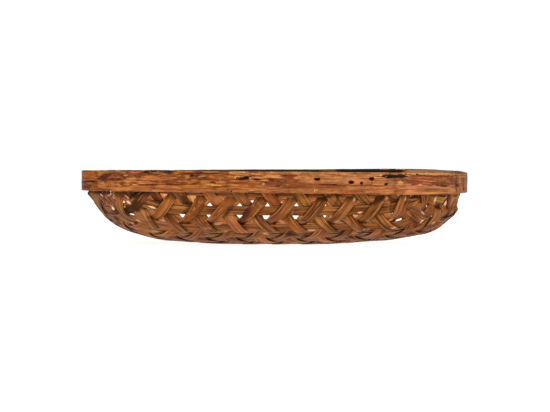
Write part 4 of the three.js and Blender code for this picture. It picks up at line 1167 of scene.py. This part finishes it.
full = np.ones_like
band(
    "outer_rim_front", LEFT_END, RIGHT_END, 0.9, front_inner,
    lambda t: CORNER - 0.8 * np.clip(1 - (RIGHT_END - t) / 16, 0, 1) ** 1.5 - 0.8 * np.clip(1 - (t - LEFT_END) / 12, 0, 1) ** 1.5,
    lambda t: FRONT_LOW - FRONT_TAPER * rim_point(t, full(t) * CORNER, full(t) * 0)[:, 0] / 280,
    lambda t: full(t) * RIM_TOP, RIM, 1, front=True, top_cut=dip,
)
band(
    "outer_rim_back", RIGHT_END - LAP, AROUND + LEFT_END + LAP, 2.0, lambda t: full(t) * OUTER_IN, back_outer,
    lambda t: BACK_LOW - 1.6 - 0.8 * rim_point(t, full(t) * CORNER, full(t) * 0)[:, 0] / 280, lambda t: full(t) * BACK_TOP, RIM, 2, front=True,
)
IN_LAP = 80.0
IN_START = AROUND / 2 - IN_LAP / 2
IN_END = IN_START + AROUND + IN_LAP


def split_at(d):
    return INNER_OUT - 1.2 - (INNER_OUT - INNER_IN - 2.4) * d / IN_LAP


def inner_in(t):
    d = t - IN_START
    k = np.clip((d - IN_LAP) / 12, 0, 1)
    return np.where(d <= IN_LAP, split_at(d) + GAP / 2, (split_at(IN_LAP) + GAP / 2) * (1 - k) + INNER_IN * k)


def inner_out(t):
    d = t - (IN_END - IN_LAP)
    k = np.clip(-d / 12, 0, 1)
    return np.where(d >= 0, split_at(d) - GAP / 2, (split_at(0) - GAP / 2) * (1 - k) + INNER_OUT * k)


band(
    "inner_rim", IN_START, IN_END, 3.0, inner_in, inner_out,
    lambda t: full(t) * INNER_LOW, lambda t: full(t) * INNER_TOP, INSIDE, 3, dark_inside=True,
)


# ---------------------------------------------------------------- nails
def iron():
    m = bpy.data.materials.new("rusted iron")
    m.use_nodes = True
    nt = m.node_tree
    bsdf = nt.nodes["Principled BSDF"]
    tc = nt.nodes.new("ShaderNodeTexCoord")
    n = nt.nodes.new("ShaderNodeTexNoise")
    n.inputs["Scale"].default_value = 900
    n.inputs["Detail"].default_value = 4
    nt.links.new(tc.outputs["Object"], n.inputs["Vector"])
    r = nt.nodes.new("ShaderNodeValToRGB")
    r.color_ramp.elements[0].position = 0.35
    r.color_ramp.elements[0].color = (0.034, 0.015, 0.008, 1)
    r.color_ramp.elements[1].position = 0.7
    r.color_ramp.elements[1].color = (0.17, 0.065, 0.026, 1)
    nt.links.new(n.outputs["Fac"], r.inputs["Fac"])
    nt.links.new(r.outputs["Color"], bsdf.inputs["Base Color"])
    bsdf.inputs["Metallic"].default_value = 0.1
    bsdf.inputs["Specular IOR Level"].default_value = 0.25
    bsdf.inputs["IOR"].default_value = 1.25
    bsdf.inputs["Specular Tint"].default_value = (1.0, 0.8, 0.62, 1.0)
    mr = nt.nodes.new("ShaderNodeMapRange")
    mr.inputs["To Min"].default_value, mr.inputs["To Max"].default_value = 0.45, 0.85
    nt.links.new(n.outputs["Fac"], mr.inputs["Value"])
    nt.links.new(mr.outputs[0], bsdf.inputs["Roughness"])
    b = nt.nodes.new("ShaderNodeBump")
    b.inputs["Strength"].default_value, b.inputs["Distance"].default_value = 0.6, 0.0001
    nt.links.new(n.outputs["Fac"], b.inputs["Height"])
    nt.links.new(b.outputs[0], bsdf.inputs["Normal"])
    return m


IRON = iron()


def nail(name, t, z, tip):
    """A small cut nail, its head hammered a little out of round and let into the band."""
    prof = [(0.0, tip), (0.45, tip + 0.4), (0.98, tip + 1.7), (1.0, 134.1), (1.75, 134.2), (1.95, 134.35), (2.02, 134.6), (1.98, 134.85), (1.7, 135.05), (1.1, 135.2), (0.45, 135.26), (0.0, 135.28)]
    k = 20
    rs = np.random.RandomState(abs(hash_of(name)) % 10000)
    ang = np.arange(k) / k * 2 * math.pi
    wob = 1 + 0.05 * np.cos(2 * ang + rs.uniform(0, 6)) + 0.03 * np.cos(3 * ang + rs.uniform(0, 6))
    x, y, c, s = (float(q) for q in rim_frame(np.array([t]))[0:4])
    out, up = np.array([c, s, 0.0]), np.array([0, 0, 1.0])
    side = np.cross(out, up)
    pts, faces, rows = [], [], []
    for r, far in prof:
        if r == 0:
            rows.append([len(pts)])
            pts.append(np.array([x, y, z]) + out * far)
        else:
            rows.append(list(range(len(pts), len(pts) + k)))
            for i in range(k):
                w = wob[i] if far > 134 else 1.0
                pts.append(np.array([x, y, z]) + out * far + (side * math.cos(ang[i]) + up * math.sin(ang[i])) * r * w)
    for a, b in zip(rows, rows[1:]):
        for i in range(k):
            j = (i + 1) % k
            if len(a) == 1:
                faces.append([a[0], b[i], b[j]])
            elif len(b) == 1:
                faces.append([a[i], b[0], a[j]])
            else:
                faces.append([a[i], b[i], b[j], a[j]])
    pts = warp(np.array(pts))
    return finish_piece(name, pts, faces, np.full((len(pts), 3), 0.05), pts, IRON)


def hash_of(text):
    return sum((i + 1) * ord(ch) for i, ch in enumerate(text))


for nm, t_, z_, tip_ in (
    ("right_lap_nail_1", RIGHT_END - 15, 89, 128.6),
    ("right_lap_nail_2", RIGHT_END - 45, 90, 128.2),
    ("left_lap_nail_1", LEFT_END + 15, 91, 128.6),
    ("left_lap_nail_2", LEFT_END + 45, 89, 128.2),
    ("front_rim_nail_1", -52, 98, 116.2),
    ("front_rim_nail_2", 156, 101, 116.2),
    ("back_rim_nail_1", AROUND / 2 - 75, 96, 116.2),
    ("back_rim_nail_2", AROUND / 2 + 95, 96, 116.2),
):
    nail(nm, t_, z_, tip_)

# ---------------------------------------------------------------- floor, world and lights
floor_me = bpy.data.meshes.new("floor")
floor_me.from_pydata([(-9, -9, -0.0004), (9, -9, -0.0004), (9, 9, -0.0004), (-9, 9, -0.0004)], [], [(0, 1, 2, 3)])
floor = bpy.data.objects.new("floor", floor_me)
bpy.context.scene.collection.objects.link(floor)
fm = bpy.data.materials.new("floor")
fm.use_nodes = True
fb = fm.node_tree.nodes["Principled BSDF"]
fb.inputs["Base Color"].default_value = (0.5, 0.5, 0.5, 1)
fb.inputs["Roughness"].default_value = 0.9
fb.inputs["Specular IOR Level"].default_value = 0.0
fb.inputs["Emission Color"].default_value = (1, 1, 1, 1)
fb.inputs["Emission Strength"].default_value = 0.9
floor_me.materials.append(fm)

world = bpy.data.worlds.new("world")
bpy.context.scene.world = world
world.use_nodes = True
wt = world.node_tree
bg = wt.nodes["Background"]
bg.inputs["Color"].default_value = (1, 1, 1, 1)
lp = wt.nodes.new("ShaderNodeLightPath")
wm = wt.nodes.new("ShaderNodeMapRange")
wm.inputs["To Min"].default_value, wm.inputs["To Max"].default_value = 0.32, 1.05
wt.links.new(lp.outputs["Is Camera Ray"], wm.inputs["Value"])
wt.links.new(wm.outputs[0], bg.inputs["Strength"])


def lamp(name, at, aim, size, power, colour=(1, 1, 1)):
    d = bpy.data.lights.new(name, "AREA")
    d.shape = "RECTANGLE"
    d.size, d.size_y = size
    d.energy = power
    d.color = colour
    o = bpy.data.objects.new(name, d)
    o.location = at
    o.rotation_euler = (Vector(aim) - Vector(at)).to_track_quat("-Z", "Y").to_euler()
    o.visible_camera = False
    bpy.context.scene.collection.objects.link(o)


lamp("key", (-1.0, -2.0, 1.5), (0, 0, 0.05), (1.0, 0.8), 44, (1, 0.98, 0.95))
lamp("fill", (1.7, -1.8, 0.7), (0, 0, 0.05), (1.0, 0.8), 15, (1, 0.99, 0.98))
lamp("back", (1.1, 1.5, 1.6), (-0.1, 0, 0.05), (1.6, 1.0), 26)

bpy.context.scene.view_settings.view_transform = "Standard"
bpy.context.scene.view_settings.look = "None"
